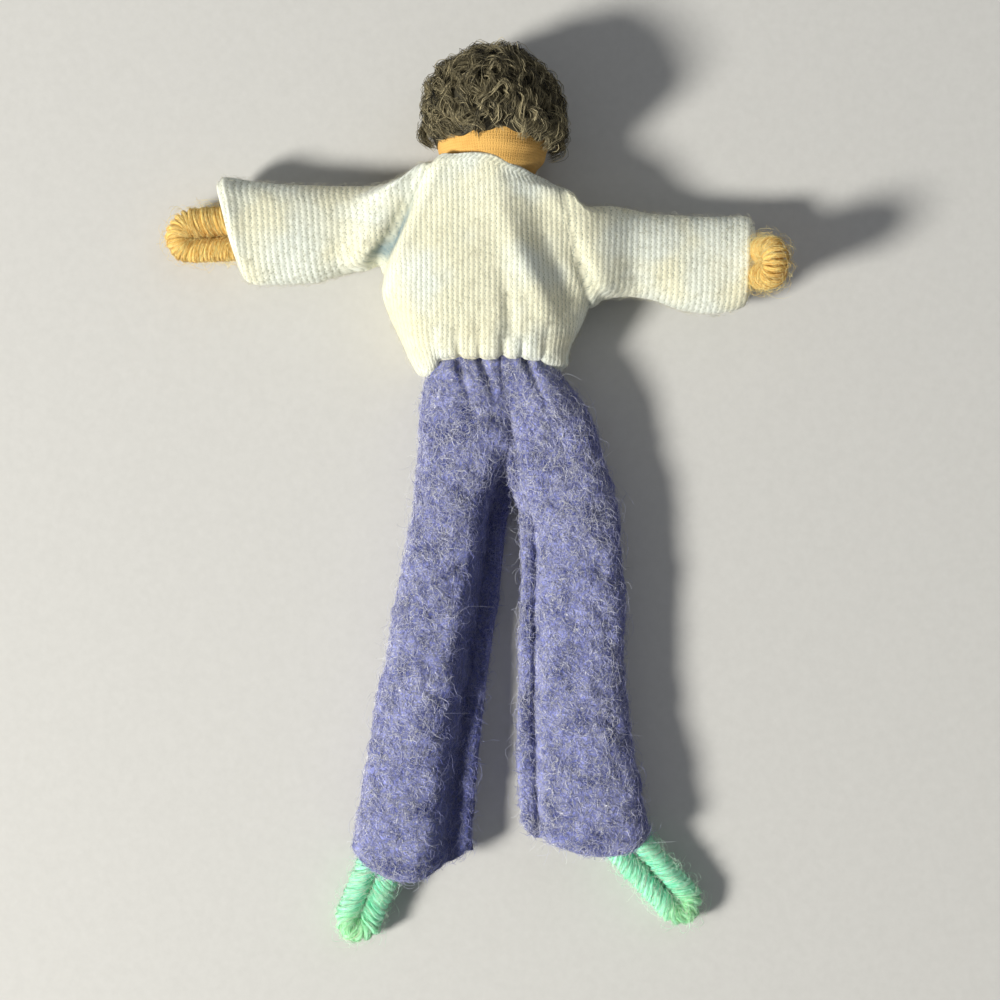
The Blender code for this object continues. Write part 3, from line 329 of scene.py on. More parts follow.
# each cloth's look, the names of its pieces and of their fibres, and the height below which no fibre starts
cloths = {"jersey": ("jersey", "sleeve", "jerseyFibres", 1), "felt": ("felt", "trouser", "feltFibres", 0.6)}


# materials
def link(node, inputs):
    for key, value in inputs.items():
        if isinstance(value, Signal):
            node.id_data.links.new(value.socket, node.inputs[key])
        else:
            node.inputs[key].default_value = value


def put(tree, kind, inputs=None, out=0, **settings):
    node = tree.nodes.new("ShaderNode" + kind)
    for key, value in settings.items():
        setattr(node, key, value)
    link(node, inputs or {})
    return Signal(node.outputs[out])


class Signal:
    # an output of a shader node; sums and products of signals become Math nodes
    def __init__(self, socket):
        self.socket = socket
        self.tree = socket.id_data

    def calc(self, operation, *others):
        return put(self.tree, "Math", dict(enumerate((self, *others))), operation=operation)

    def __add__(self, other):
        return self.calc("ADD", other)

    def __sub__(self, other):
        return self.calc("SUBTRACT", other)

    def __mul__(self, other):
        return self.calc("MULTIPLY", other)

    def __truediv__(self, other):
        return self.calc("DIVIDE", other)

    def spread(self, low, high, toLow=0, toHigh=1):
        # from low..high to toLow..toHigh, smoothly
        inputs = {0: self, 1: low, 2: high, 3: toLow, 4: toHigh}
        return put(self.tree, "MapRange", inputs, interpolation_type="SMOOTHSTEP")

    def mix(self, *colours):
        # the first colour where this is 0, the second where it is 1
        first, second = [c if isinstance(c, Signal) else (*c, 1) for c in colours]
        return put(self.tree, "Mix", {0: self, 6: first, 7: second}, 2, data_type="RGBA")

    def raised(self, distance, strength, **under):
        return put(self.tree, "Bump", {"Height": self, "Distance": distance, "Strength": strength, **under})

    def noise(self, scale, detail=2, roughness=0.5, out=0):
        inputs = {"Vector": self, "Scale": scale, "Detail": detail, "Roughness": roughness}
        return put(self.tree, "TexNoise", inputs, out)

    def flatPlace(self):
        # x and y of a vector
        x = put(self.tree, "SeparateXYZ", {0: self})
        return x, Signal(x.socket.node.outputs[1])


def newGroup(name, **values):
    # an empty node group that takes a vector and these numbers, and the signals that come in
    tree = bpy.data.node_groups.new(name, "ShaderNodeTree")
    tree.interface.new_socket("Vector", in_out="INPUT", socket_type="NodeSocketVector")
    for label, value in values.items():
        tree.interface.new_socket(label, in_out="INPUT", socket_type="NodeSocketFloat").default_value = value
    given = tree.nodes.new("NodeGroupInput").outputs
    return tree, *[Signal(given[k]) for k in ("Vector", *values)]


def closeGroup(tree, **results):
    for label in results:
        tree.interface.new_socket(label, in_out="OUTPUT", socket_type="NodeSocketFloat")
    link(tree.nodes.new("NodeGroupOutput"), results)
    return tree


def knitGroup():
    # jersey: a bright wavering ridge for each wale, and between two of them a darker band with a row of small holes
    tree, vector, wale, course = newGroup("knit", Wale=0.0008, Course=0.0007)
    wander = vector.noise(700, 1)
    x, y = vector.flatPlace()
    place = x / wale
    run = y / course * turn + wander * 4 + place.calc("ROUND") * np.pi
    across = place + run.calc("SINE") * 0.06 + 0.325 + wander * 0.35
    side = (across.calc("FRACT") - 0.5).calc("ABSOLUTE") * 2
    bead = (run + 1.2).calc("SINE") * 0.5 + 0.5
    ridge = side.spread(0.85, 0.15) * (bead * 0.2 + 0.5)
    rung = side.spread(0.4, 0.9) * bead
    hole = side.spread(0.45, 0.9) * bead.spread(0.5, 0.1)
    uneven = put(tree, "TexWhiteNoise", {"W": across.calc("FLOOR")}, noise_dimensions="1D")
    band = side.spread(0.4, 0.85) * (uneven * 0.3 + 0.08)
    return closeGroup(tree, Height=rung * 0.3 + ridge, Gap=hole * 0.8 + band)


def weaveGroup():
    # plain weave: each thread goes over and under the ones that cross it
    tree, vector, thread = newGroup("weave", Thread=0.0005)
    angles = [place / thread * np.pi for place in vector.flatPlace()]
    over = (angles[0].calc("SINE") * angles[1].calc("SINE")).spread(-0.25, 0.25)
    crowns = [angle.calc("COSINE").calc("ABSOLUTE") for angle in angles]
    height = put(tree, "Mix", {0: over, 2: crowns[0], 3: crowns[1]})
    return closeGroup(tree, Height=height, Gap=height.spread(0.55, 0.05))


def fibreGroup():
    # matted fibres: stretched noise seen in three directions, fine hairs over broad clouds
    tree, vector, size, stretch = newGroup("fibres", Size=0.001, Stretch=4)
    scale = put(tree, "Math", {0: 1, 1: size}, operation="DIVIDE")
    warp = put(tree, "VectorMath", {0: vector.noise(scale, out=1), "Scale": 0.0016}, operation="SCALE")
    bent = put(tree, "VectorMath", {0: vector, 1: warp}, operation="ADD")
    press = put(tree, "CombineXYZ", {0: stretch, 1: 1, 2: 2})
    layers = []
    for angle in (0.5, 1.6, 2.7):
        turned = put(tree, "VectorRotate", {"Vector": bent, "Angle": angle, "Axis": (0.3, 0.2, 1)})
        layers.append(put(tree, "VectorMath", {0: turned, 1: press}, operation="MULTIPLY").noise(scale * 1.3, 3, 0.65))
    hairs = layers[0].calc("MAXIMUM", layers[1]).calc("MAXIMUM", layers[2]).spread(0.5, 0.72)
    clouds = vector.noise(scale * 0.4, 4, 0.6)
    return closeGroup(tree, Clouds=clouds, Hairs=hairs, Height=hairs * 0.7 + clouds)


def plyGroup():
    # spun yarn: thin fibres that run along the yarn with a twist, from a UV of turns round and metres along
    tree, vector, twist = newGroup("ply", Twist=900)
    x, y = vector.flatPlace()
    angle = (y * twist + x) * turn
    ring = put(tree, "CombineXYZ", {0: angle.calc("SINE"), 1: angle.calc("COSINE"), 2: y * 260})
    streak = ring.noise(3.2, 4, 0.7)
    return closeGroup(tree, Streak=streak.spread(0.32, 0.68), Height=streak)


groups = {"knit": knitGroup(), "weave": weaveGroup(), "fibres": fibreGroup(), "ply": plyGroup()}


def useGroup(name, vector, **values):
    node = vector.tree.nodes.new("ShaderNodeGroup")
    node.node_tree = groups[name]
    link(node, {"Vector": vector, **values})
    return {k: Signal(socket) for k, socket in node.outputs.items()}


def ownUv(tree):
    return put(tree, "UVMap", uv_map="cloth")


def tone(tree, name):
    return put(tree, "Attribute", out="Fac", attribute_name=name)


def inPlace(tree):
    return put(tree, "TexCoord", out="Object")


def newMaterial(name, look, *colours, roughness=0.85, sheen=0.3, tint=(1, 1, 1), metallic=0, specular=0.3):
    # look makes the nodes, from its colours, and gives the shader's inputs that they feed
    material = bpy.data.materials.new(name)
    material.use_nodes = True
    tree = material.node_tree
    link(tree.nodes["Principled BSDF"], {
        "Roughness": roughness, "Metallic": metallic, "Specular IOR Level": specular, "Sheen Weight": sheen,
        "Sheen Roughness": 0.5, "Sheen Tint": (*tint, 1), **look(tree, *colours)})
    return material


def jerseyLook(tree):
    colours = {"cream": (0.86, 0.84, 0.64), "pale": (0.80, 0.84, 0.76), "gap": (0.44, 0.47, 0.38),
               "warm": (0.86, 0.74, 0.40), "cool": (0.13, 0.22, 0.27)}
    knit = useGroup("knit", ownUv(tree), Wale=0.00078, Course=0.0007)
    matted = useGroup("fibres", inPlace(tree), Size=0.0007, Stretch=3)
    colour = inPlace(tree).noise(95).spread(0.4, 0.62).mix(colours["cream"], colours["pale"])
    colour = (knit["Gap"] * matted["Clouds"].spread(0.3, 0.7, 0.55, 1.1)).mix(colour, colours["gap"])
    # the armhole tone is painted shade: a cool, darker tint laid into the armhole creases
    for name, share in (("warm", 0.5), ("cool", 0.9)):
        colour = (tone(tree, name) * share).mix(colour, colours[name])
    fine = matted["Hairs"].raised(0.00004, 0.5)
    return {"Base Color": colour, "Normal": knit["Height"].raised(0.00009, 0.8, Normal=fine)}


def feltLook(tree):
    colours = {"deep": (0.03, 0.045, 0.22), "mid": (0.34, 0.37, 0.80), "hair": (0.95, 0.94, 1)}
    matted = useGroup("fibres", inPlace(tree), Size=0.0011, Stretch=4.5)
    share = inPlace(tree).noise(230, 3, 0.6) * 0.9 + matted["Clouds"] * 0.6
    colour = share.spread(0.52, 0.92).mix(colours["deep"], colours["mid"])
    colour = (matted["Hairs"] * 0.85).mix(colour, colours["hair"])
    # painted shade: where the mesh marks it, the felt is coloured deep
    colour = (tone(tree, "dye") * 0.75).mix(colour, colours["deep"])
    return {"Base Color": colour, "Normal": matted["Height"].raised(0.00045, 0.9)}


def fuzzLook(tree, dark, light, tip=None):
    colour = (tone(tree, "tone") * (inPlace(tree).noise(900) * 0.8 + 0.55)).mix(dark, light)
    return {"Base Color": tone(tree, "tip").mix(colour, tip) if tip else colour}


def yarnLook(tree, dark, mid, light, tip=None):
    spun = useGroup("ply", ownUv(tree), Twist=700)
    colour = tone(tree, "deep").mix(spun["Streak"].mix(mid, light), dark)
    return {"Base Color": tone(tree, "tip").mix(colour, tip) if tip else colour,
            "Normal": spun["Height"].raised(0.00012, 0.8)}


def weaveLook(tree, over, gap):
    woven = useGroup("weave", ownUv(tree), Thread=0.00042)
    matted = useGroup("fibres", inPlace(tree), Size=0.0008, Stretch=3)
    colour = (woven["Gap"] * 0.25).mix(over, gap)
    colour = matted["Clouds"].spread(0.4, 0.75, 0, 0.35).mix(colour, gap)
    return {"Base Color": colour, "Normal": woven["Height"].raised(0.00007, 0.9)}


def battingLook(tree, dark, light):
    matted = useGroup("fibres", inPlace(tree), Size=0.0016, Stretch=5)
    return {"Base Color": matted["Hairs"].mix(dark, light), "Normal": matted["Height"].raised(0.0003, 0.8)}


def wireLook(tree, dark, light):
    worn = inPlace(tree).noise(1800, 3)
    return {"Base Color": worn.mix(dark, light), "Roughness": worn.spread(0.3, 0.7, 0.28, 0.5)}


def tableLook(tree, dark, light):
    return {"Base Color": inPlace(tree).noise(900, 3).mix(dark, light)}


def fuzz(name, *colours, roughness=0.8, sheen=0.2):
    return newMaterial(name, fuzzLook, *colours, roughness=roughness, sheen=sheen)


def yarn(name, dark, mid, light, *tip):
    return newMaterial(name, yarnLook, dark, mid, light, *tip, tint=light)


surfaces = {
    "jersey": newMaterial("jersey", jerseyLook, roughness=0.92, sheen=0.25),
    "felt": newMaterial("felt", feltLook, roughness=0.95, sheen=0.35, tint=(0.75, 0.78, 1)),
    "feltFuzz": fuzz("felt_fuzz", (0.14, 0.16, 0.50), (1, 1, 1)),
    "jerseyFuzz": fuzz("jersey_fuzz", (0.50, 0.48, 0.36), (0.88, 0.86, 0.76)),
    "skinCloth": newMaterial("skin_cloth", weaveLook, (0.78, 0.455, 0.125), (0.50, 0.235, 0.045), sheen=0.2,
                             tint=(1, 0.8, 0.6)),
    "skinYarn": yarn("skin_yarn", (0.55, 0.27, 0.045), (0.88, 0.52, 0.11), (1, 0.80, 0.30)),
    "skinFuzz": fuzz("skin_fuzz", (0.80, 0.44, 0.08), (1, 0.90, 0.40)),
    "shoeYarn": yarn("shoe_yarn", (0.10, 0.84, 0.54), (0.30, 1, 0.64), (0.62, 1, 0.80), (0.40, 0.86, 0.34)),
    "shoeFuzz": fuzz("shoe_fuzz", (0.22, 0.92, 0.60), (0.92, 1, 0.84), (0.62, 0.96, 0.50)),
    "hair": fuzz("hair_fibre", (0.004, 0.004, 0.003), (0.86, 0.74, 0.44), roughness=0.6, sheen=0),
    "batting": newMaterial("batting", battingLook, (0.62, 0.58, 0.49), (0.88, 0.86, 0.80), roughness=1),
    "wire": newMaterial("wire", wireLook, (0.42, 0.41, 0.40), (0.66, 0.66, 0.68), sheen=0, metallic=1, specular=0.5),
    "thread": yarn("thread", (0.02, 0.012, 0.008), (0.06, 0.04, 0.03), (0.14, 0.10, 0.07)),
    "whiteThread": yarn("white_thread", (0.45, 0.45, 0.42), (0.70, 0.70, 0.66), (0.88, 0.88, 0.85)),
    "table": newMaterial("table", tableLook, (0.58, 0.575, 0.56), (0.64, 0.635, 0.62), roughness=0.7, sheen=0,
                         specular=0.2),
}
print("materials made:", len(surfaces))


# the shirt: a trunk with a bloused hem, cut by an upright plane at each armhole, where the sleeve's rings begin
shirt = {
    "wale": 0.78, "relief": 0.022, "power": 2.4, "floor": 0.12, "hemRoll": 0.7, "collarRoll": 0.5,
    # height of the doll's back: y, middle z, half depth
    "depth": [(-17, 4.9, 4.6), (-14.6, 5.15, 5.1), (-13.2, 5.6, 6.1), (-11.5, 6.2, 6.75), (-8, 6.5, 6.95),
              (0, 6.5, 7), (8, 6.6, 6.9), (12, 7.5, 7.2), (15.8, 8.9, 8.1), (18, 9.2, 8.2)],
    # y, x
    "left": [(-17, -8.4), (-16.3, -9), (-14.6, -10.3), (-12.3, -11.7), (-9.65, -13), (-6, -14.55),
             (-0.3, -15.6), (3, -16.6), (8, -16.6), (11.5, -15.6), (12.9, -14.2), (14.4, -11.2), (15.1, -8.8),
             (15.7, -7.2), (19, -6.4)],
    "right": [(-17, 12), (-15, 12.2), (-12.5, 12.1), (-10.7, 13.3), (-5.7, 15.6), (-2, 16.9), (4, 17),
              (9, 15.2), (10.4, 14.3), (11.2, 13.2), (12, 10.9), (12.7, 9.5), (14, 9), (19, 8.7)],
    # x, y
    "collar": [(-9, 15.2), (-4.5, 15.4), (0.2, 15.25), (2.8, 14.8), (5.4, 13.8), (9, 12.5), (11, 12)],
    "hem": [(-13, -16.3), (-9.3, -16.4), (-8, -15.5), (-6.9, -14.5), (-5.5, -14.2), (0, -14.2), (5, -14.1),
            (7.5, -14.3), (9.5, -14.8), (11, -15.1), (13, -15.1)],
    "dents": [(-7, 0.3), (-3.75, 0.5), (-0.75, 0.42), (2.65, 0.85), (5.45, 0.6), (8.6, 0.35)],  # x, depth
    "armpit": [(1.1, [(415, 200, 10, 0.3), (408, 222, 9, 0.95), (396, 243, 8, 1), (382, 257, 7, 0.9),
                      (366, 266, 6, 0.3)])],
    "folds": [
        (2.3, [(526, 180, 15, 0.2), (541, 222, 13, 1), (558, 266, 12, 1.2), (571, 300, 10, 1), (572, 330, 9, 0.2)]),
        (1.1, [(500, 262, 13, 0), (508, 300, 13, 0.6), (512, 335, 12, 0.8), (508, 362, 10, 0.5)]),
        (1.3, [(560, 235, 11, 0), (583, 268, 10, 0.6), (597, 293, 8, 0.6), (603, 306, 6, 0.3)]),
        (1.5, [(530, 185, 14, 0), (556, 215, 12, 0.4), (575, 250, 10, 0.3), (588, 280, 8, 0)]),
        (0.9, [(470, 330, 12, 0), (467, 352, 11, 0.4), (462, 364, 10, 0.6)]),
        (1.8, [(500, 180, 15, -0.2), (504, 212, 14, -0.6), (518, 252, 14, -0.8), (534, 284, 13, -0.8),
               (548, 316, 12, -0.4)]),
        (2.2, [(400, 255, 9, -0.2), (404, 300, 9, -0.35), (418, 345, 9, -0.3)])],
}
planes = {
    "left": {"middle": vec(-11.75, 7.85, 6.6), "out": unit(vec(-0.909, 0.418, 0))},
    "right": {"middle": vec(12.7, 3.5, 6.4), "out": unit(vec(0.971, 0.24, 0))},
}


def beyond(p, side):
    return (p - planes[side]["middle"]) @ planes[side]["out"]


def trunkShape(y):
    # middle x, half width, middle z and half depth of the trunk at a height
    left, right = along(y, shirt["left"]), along(y, shirt["right"])
    return (left + right) / 2, (right - left) / 2, *along(y, shirt["depth"])


def trunkSection(y, angle):
    # superellipse across the trunk, pressed flat where it would pass under the table
    x, half, z, depth = trunkShape(y)
    px = x + half * power(np.cos(angle), 2 / shirt["power"])
    return atLeast(stacked(px, y, z + depth * power(np.sin(angle), 2 / shirt["power"])), shirt["floor"])


def insideTrunk(p):
    # true inside the trunk's superellipse, over the table and below the collar
    x, half, z, depth = trunkShape(p[..., 1])
    value = np.abs((p[..., 0] - x) / half) ** shirt["power"] + np.abs((p[..., 2] - z) / depth) ** shirt["power"]
    return (value < 1) & (p[..., 2] >= shirt["floor"]) & (p[..., 1] <= along(p[..., 0], shirt["collar"]) + 0.05)


def armpit(p):
    # the valley under the left shoulder: it starts beside the trunk's edge and leaves it downwards
    return furrows(p, shirt["armpit"]) * ease(p[..., 2], 4.5, 7.5)


def backFolds(p):
    # how far the shirt's back stands in or out at a place, from the folds in the picture
    return lumps(p * vec(1, 0.55, 1), 3.4, 3) * 0.13 - furrows(p, shirt["folds"]) * ease(p[..., 2], 5.5, 9)


def hemDents(p):
    # gathers at the waist: narrow valleys that run up from the hem, and a wavy underside
    x, y = p[..., 0], p[..., 1]
    back = ease(p[..., 2], 4, 6.5)
    depth = 0.35 * np.cos(x * turn / 3.1 + 0.6) * ease(y, -9, -14) * (1 - back)
    for k, (place, deep) in enumerate(shirt["dents"]):
        lean = place + 0.12 * (y + 14) * (place - 1) / 6
        wide = 0.5 + 0.12 * np.cos(k * 2) + 0.4 * ease(y, -14, -8)
        depth = depth - deep * ease(y, -6 - 1.6 * np.sin(k * 2.3), -14.2) * bell(x, lean, wide) * back
    return depth


def knitRelief(u):
    # each wale is a low rounded ridge
    return shirt["relief"] * (np.abs(np.cos(np.pi * u / shirt["wale"])) - 0.8)


def evenAngles(count):
    # angles that part a typical section of the trunk into equal lengths, starting at its left edge
    fine = np.linspace(np.pi, np.pi - turn, 4001)
    length = runLength(trunkSection(3, fine))
    return np.interp(np.arange(count) / count * length[-1], length, fine)


def walePlaces(points):
    # distance round each ring from the line x = 0.5 of the back, and of the front, as the panels meet at the sides
    length = runLength(wrapped(points)[..., [0, 2]], 1)
    half = points.shape[1] // 2
    far = np.abs(points[..., 0] - 0.5)
    rows = np.arange(len(points))
    zero = [length[rows, far[:, :half].argmin(1)], length[rows, half + far[:, half:].argmin(1)]]
    zero = [np.convolve(np.pad(z, 2, mode="edge"), np.ones(5) / 5, "valid")[:, None] for z in zero]
    return length - np.where(np.arange(length.shape[1]) <= half, *zero)


def makeTrunk(columns=640, rows=92, turned=7):
    # the outer skin from hem to collar, a rolled edge at both, and a short lining behind each edge
    angle = evenAngles(columns)[None, :]
    rise = np.linspace(0, 1, rows)[:, None]
    base = trunkSection(np.linspace(-14.4, 15.7, rows)[:, None], angle)
    low, high = along(base[..., 0], shirt["hem"]), along(base[..., 0], shirt["collar"])
    low = -14.3 + (low + 14.3) * ease(base[..., 2], 2.5, 6)
    y = low + (high - low) * rise
    outer = trunkSection(y, angle)
    uv = walePlaces(outer)
    normals, _ = outward(outer)
    push = backFolds(outer) * ease(rise, 0, 0.12) + hemDents(outer) + knitRelief(uv[:, :-1]) * ease(rise, 0, 0.02)
    push = push - 0.75 * (1 - ease(y - low, 0, 1.1)) ** 2 + 0.35 * bell(y - low, 2.2, 1.5)
    past = {side: beyond(outer, side) for side in planes}
    for side in planes:
        push = push - 0.3 * ease(past[side], -0.05, 0.35)
    near = past["left"]
    push = push - 0.75 * ease(near, -1.5, 0.1) - 0.5 * armpit(outer) * ease(near, -1.2, 0.2)
    push = push + 0.3 * bell(near, -2.2, 0.9) * ease(outer[..., 2], 6, 9)
    skin = atLeast(outer + normals * push[..., None], 0.05 + 0.03 * rise)
    hemTurn = rolled(skin[::-1], normals[::-1], down, shirt["hemRoll"], (1, 3, 6, 10))[::-1]
    collarTurn = rolled(skin, normals, -down, shirt["collarRoll"], (1, 3, 6, 9))
    full = atLeast(np.concatenate([hemTurn, skin, collarTurn]), 0.05)
    rim = ((turned, turned), (0, 0))
    uvs = stacked(np.pad(uv, rim, mode="edge"), wrapped(full[..., 1])) * mm
    x, y = full[..., 0], full[..., 1]
    warm = 0.5 * ease(y, -6, -13.5) * ease(lumps(full, 3, 9), -0.4, 0.8)
    warm = warm + 0.9 * ease(x, -8, -13.5) * ease(y, 2, -9)
    # painted shade in the crease of the left armpit, beside the trunk's edge
    cool = armpit(full) * ease(beyond(full, "left"), -1.3, -0.5)
    keep = True
    for side in planes:
        near = np.pad(past[side], rim, mode="edge")
        near = np.minimum(near, np.roll(near, -1, 1))
        keep &= np.minimum(near[:-1], near[1:]) < 0.35
    return gridPart(full, uvs, keep=keep, warm=warm, cool=cool), full, uv, outer


print("shirt: trunk")
trunkPart, trunkFull, trunkUv, trunkOuter = makeTrunk()
trunk = settle(makeMesh("shirtTrunk", "jersey", trunkPart), "torso", "jersey", "shirt_trunk", "shirt_yoke", "shirt_hem")

# each sleeve: x and y of its middle line, half widths and half depth at a distance along it; then its headings
sleeves = {
    "left": {
        "line": [(-11.75, 7.85), (-14.9, 7.9), (-18.3, 6.75), (-21.6, 5.9), (-27, 5.5), (-33, 5.5), (-36.6, 5.9),
                 (-38.2, 6.6)],
        "top": [(0, 8), (1.7, 6.9), (3.4, 6.2), (7, 6.2), (10.2, 6.7), (15.6, 7.35), (21.5, 7.75), (25.2, 7.7),
                (27, 6.7)],
        "bottom": [(0, 9.2), (3.4, 8.9), (7, 7.5), (10.2, 6.9), (15.6, 7.45), (21.5, 7.85), (25.2, 7.8), (27, 7.2)],
        "depth": [(0, 4.9), (7, 4.3), (15, 4.2), (27, 4.25)],
        "turns": (155.3, 187.6, 192), "toHead": -1, "dip": 0.7, "stretch": 0.84, "elbow": 10, "cuff": 7.4,
        "along": vec(-0.99122, -0.13226, 0), "fibres": {"Root": 500, "Upper": 700, "Lower": 1200, "Cuff": 800},
    },
    "right": {
        "line": [(12.7, 3.5), (15, 3.2), (17.5, 2.6), (20, 2.7), (25.35, 2), (31.05, 1), (35.7, 0.65),
                 (39.9, 1.25)],
        "top": [(0, 8.9), (1.5, 8.6), (2.3, 8.2), (3.1, 7.2), (3.9, 6.8), (5, 6.85), (7.4, 6.8), (12.8, 6.45),
                (18.6, 6.95), (23.2, 7.25), (25.6, 6.9), (26.8, 6.2), (27.6, 5.3)],
        "bottom": [(0, 9.8), (2.6, 8.2), (5, 7.1), (7.4, 6.8), (12.8, 6.45), (18.6, 7.1), (23.2, 7.3), (25.6, 6.9),
                   (26.8, 6.2), (27.6, 5.2)],
        "depth": [(0, 4.9), (7, 4.3), (15, 4.2), (28, 4.25)],
        "turns": (13.9, -6, -3), "toHead": 1, "stretch": 0.9, "elbow": 8.8,
        "along": vec(0.99452, -0.10453, 0), "fibres": {"Root": 500, "Upper": 700, "Lower": 2000},
    },
}


def sleeveRings(side, spec, columns=96, gap=0.13):
    # rings along the sleeve's line: at its root the trunk's own section by the ring's plane, further out a superellipse
    reach = runLength(np.array(spec["line"]))
    total = reach[-1]
    q = np.linspace(-0.7, total, int(total / gap))[:, None]

    def lineAt(q):
        # before its first point the line runs straight back through the armhole
        xy = along(q, np.column_stack([reach, spec["line"]]))
        return [v + np.minimum(q, 0) * out for v, out in zip(xy, planes[side]["out"])]

    z = 5 + 1.6 * (1 - ease(q, 0, 9))
    first, last, cuff = spec["turns"]
    heading = np.radians(first + (last - first) * ease(q, 3.4, 17) + (cuff - last) * ease(q, total - 6, total))
    toHead = stacked(-np.sin(heading), np.cos(heading), 0) * spec["toHead"]
    cos, sin = np.cos(rounds(columns)), np.sin(rounds(columns))
    early = q[:, 0] < 11
    low, high = np.zeros((early.sum(), columns)), np.full((early.sum(), columns), 26.0)
    # further out than 0.6 mm the trunk's section is carried on unchanged
    centre = stacked(*lineAt(np.minimum(q[early], 0.6)), z[early])
    ray = toHead[early] * cos[:, None] + upwards * sin[:, None]
    for _ in range(26):  # halves the way to the trunk's surface along each ray
        half = (low + high) / 2
        inside = insideTrunk(centre + ray * half[..., None])
        low, high = np.where(inside, half, low), np.where(inside, high, half)
    a = np.where(cos > 0, along(q, spec["top"]), along(q, spec["bottom"])) * power(cos, 2 / 2.3)
    b = along(q, spec["depth"]) * power(sin, 2 / 2.3)
    share, slow = ease(q, 0.3, 3)[early], ease(q, 1.2, 10.5)[early]
    a[early] = low * cos * (1 - share) + a[early] * share
    b[early] = low * sin * (1 - slow) + b[early] * slow
    return q, atLeast(stacked(*lineAt(q), z) + toHead * a[..., None] + upwards * b[..., None], shirt["floor"])


def sleeveUv(rings, stretch):
    # along the sleeve the wales are counted by x, and at the armhole they meet the trunk's own
    half = trunkOuter.shape[1] // 2
    first = rings[0]
    found = []
    for part in (slice(0, half), slice(half, 2 * half)):
        panel, places = trunkOuter[:, part].reshape(-1, 3)[::3], trunkUv[:, part].reshape(-1)[::3]
        found.append(places[((first[:, None] - panel[None]) ** 2).sum(-1).argmin(axis=1)])
    offset = np.where(first[:, 2] > 6.3, found[0], -found[1]) - first[:, 0]
    offset = np.convolve(np.pad(offset, 4, mode="wrap"), np.ones(9) / 9, "valid")
    fade = ease(np.arange(len(rings))[:, None], 0, 80)
    x = rings[..., 0]
    return x[:1] + (x - x[:1]) * stretch + offset * (1 - fade) + np.median(offset) * fade


def makeSleeve(side, spec):
    # the rings with folds, ribs and cuff, a rolled edge and a lining; with the painted shade of the armhole creases,
    # and a yellower warm tint of the cloth
    q, rings = sleeveRings(side, spec)
    u = sleeveUv(rings, spec["stretch"])
    left = side == "left"
    rest = q[-1, 0] - q
    top = ease(rings[..., 2], 4.5, 8)
    push = knitRelief(u) + lumps(rings * vec(0.7, 1, 1), 4.2, 21 + len(side)) * 0.22 * ease(q, 1, 6)
    push = push + backFolds(rings) * (1 - ease(q, 1, 7)) - 0.3 * ease(q, 0.15, -0.7)
    push = push + 0.3 * bell(rest, 0.9, 1.5) - 0.35 * ease(rest, 0.9, 0)
    if left:
        push = push - spec["dip"] * bell(q, 0.2, 1.5) * ease(rings[..., 1], 16, 6) * top - 0.6 * armpit(rings)
        # painted shade along the armpit's crease and round the sleeve's root
        cool = np.maximum(armpit(rings), 0.16 * ease(q, 5, 0) * ease(rings[..., 1], 12, 6))
    else:
        # painted shade on the top of the right sleeve near its root
        cool = 0.14 * ease(q, 9, 3) * ease(rings[..., 1], 2, -5) * top
    normals, _ = outward(rings)
    skin = rings + normals * push[..., None]
    if left:  # the cuff's upper corner stands up a little
        lobe = bell(np.linalg.norm(rings[..., :2] - seen(229, 189, 6), axis=-1), 0, 1.7)
        skin = skin + vec(-0.2, 0.1, 0.5) * lobe[..., None]
    skin = atLeast(skin, 0.05)
    back = unit(vec(*np.subtract(spec["line"][-1], spec["line"][-2]), 0))
    full = atLeast(np.concatenate([skin, rolled(skin, normals, back, 0.9, (2, 8, 22, 44))]), 0.05)
    rim = ((0, len(full) - len(skin)), (0, 0))
    uv = stacked(wrapped(np.pad(u, rim, mode="edge")), wrapped(full[..., 1])) * mm
    warm = np.broadcast_to(0.15 * ease(np.abs(rest), 3, 0), u.shape)
    return q, full, uv, outward(full, rows=len(rings)), np.pad(cool, rim), np.pad(warm, rim, constant_values=0.2)


jerseyFuzz = {"length": (0.3, 1.2), "radius": 0.015, "lift": 0.6, "steps": 4}
for side, spec in sleeves.items():
    q, full, uv, (shade, flip), cool, warm = makeSleeve(side, spec)
    middle, out, arm = planes[side]["middle"], planes[side]["out"], spec["along"]
    first, second = int(np.argmax(q[:, 0] >= 3.4)), int(np.argmax(q[:, 0] >= spec["elbow"]))
    last = len(full) - 1
    halfway = unit(out + arm)
    start = full[second].mean(axis=0)
    rootEnd, upperStart = beyond(full[first], side).min() - 0.05, beyond(full[first], side).max() + 0.1
    upperEnd = beyond(full[second], side).min() - 0.05
    lowerStart = ((full[second] - start) @ halfway).max() + 0.1
    third = int(np.argmax(q[:, 0] >= q[-1, 0] - spec["cuff"])) if "cuff" in spec else last
    wrist = full[third].mean(axis=0) + arm * 0.5
    chain = ["torso", f"shoulder_{side}", f"upper_arm_{side}", f"forearm_{side}", f"hand_{side}"]
    bends = [("Root", 0, first, middle + out * 0.2, middle + out * rootEnd),
             ("Upper", first, second, middle + out * upperStart, middle + out * upperEnd),
             ("Lower", second, third, start + halfway * lowerStart, start + halfway * (lowerStart + 5.6)),
             ("Cuff", third, last, wrist, wrist + arm * 6.8)]  # the left hand bends inside its cuff
    for k, count in enumerate(spec["fibres"].values()):
        label, low, high, begin, end = bends[k]
        rows = slice(low, high + 1)
        rule = (chain[k], chain[k + 1], begin, end)
        nodes = [f"sleeve_{label.lower()}_{side}"] if label in ("Upper", "Lower") else []
        loose = {**jerseyFuzz, "count": count, "seed": 70 + len(label) + len(side) * 3}
        layCloth("jersey", label, side, rows, rule, (full, shade, uv), flip, nodes, 8 * (high == last), [loose],
                 cool=cool, warm=warm)
kept = trunkFull[6:-8]
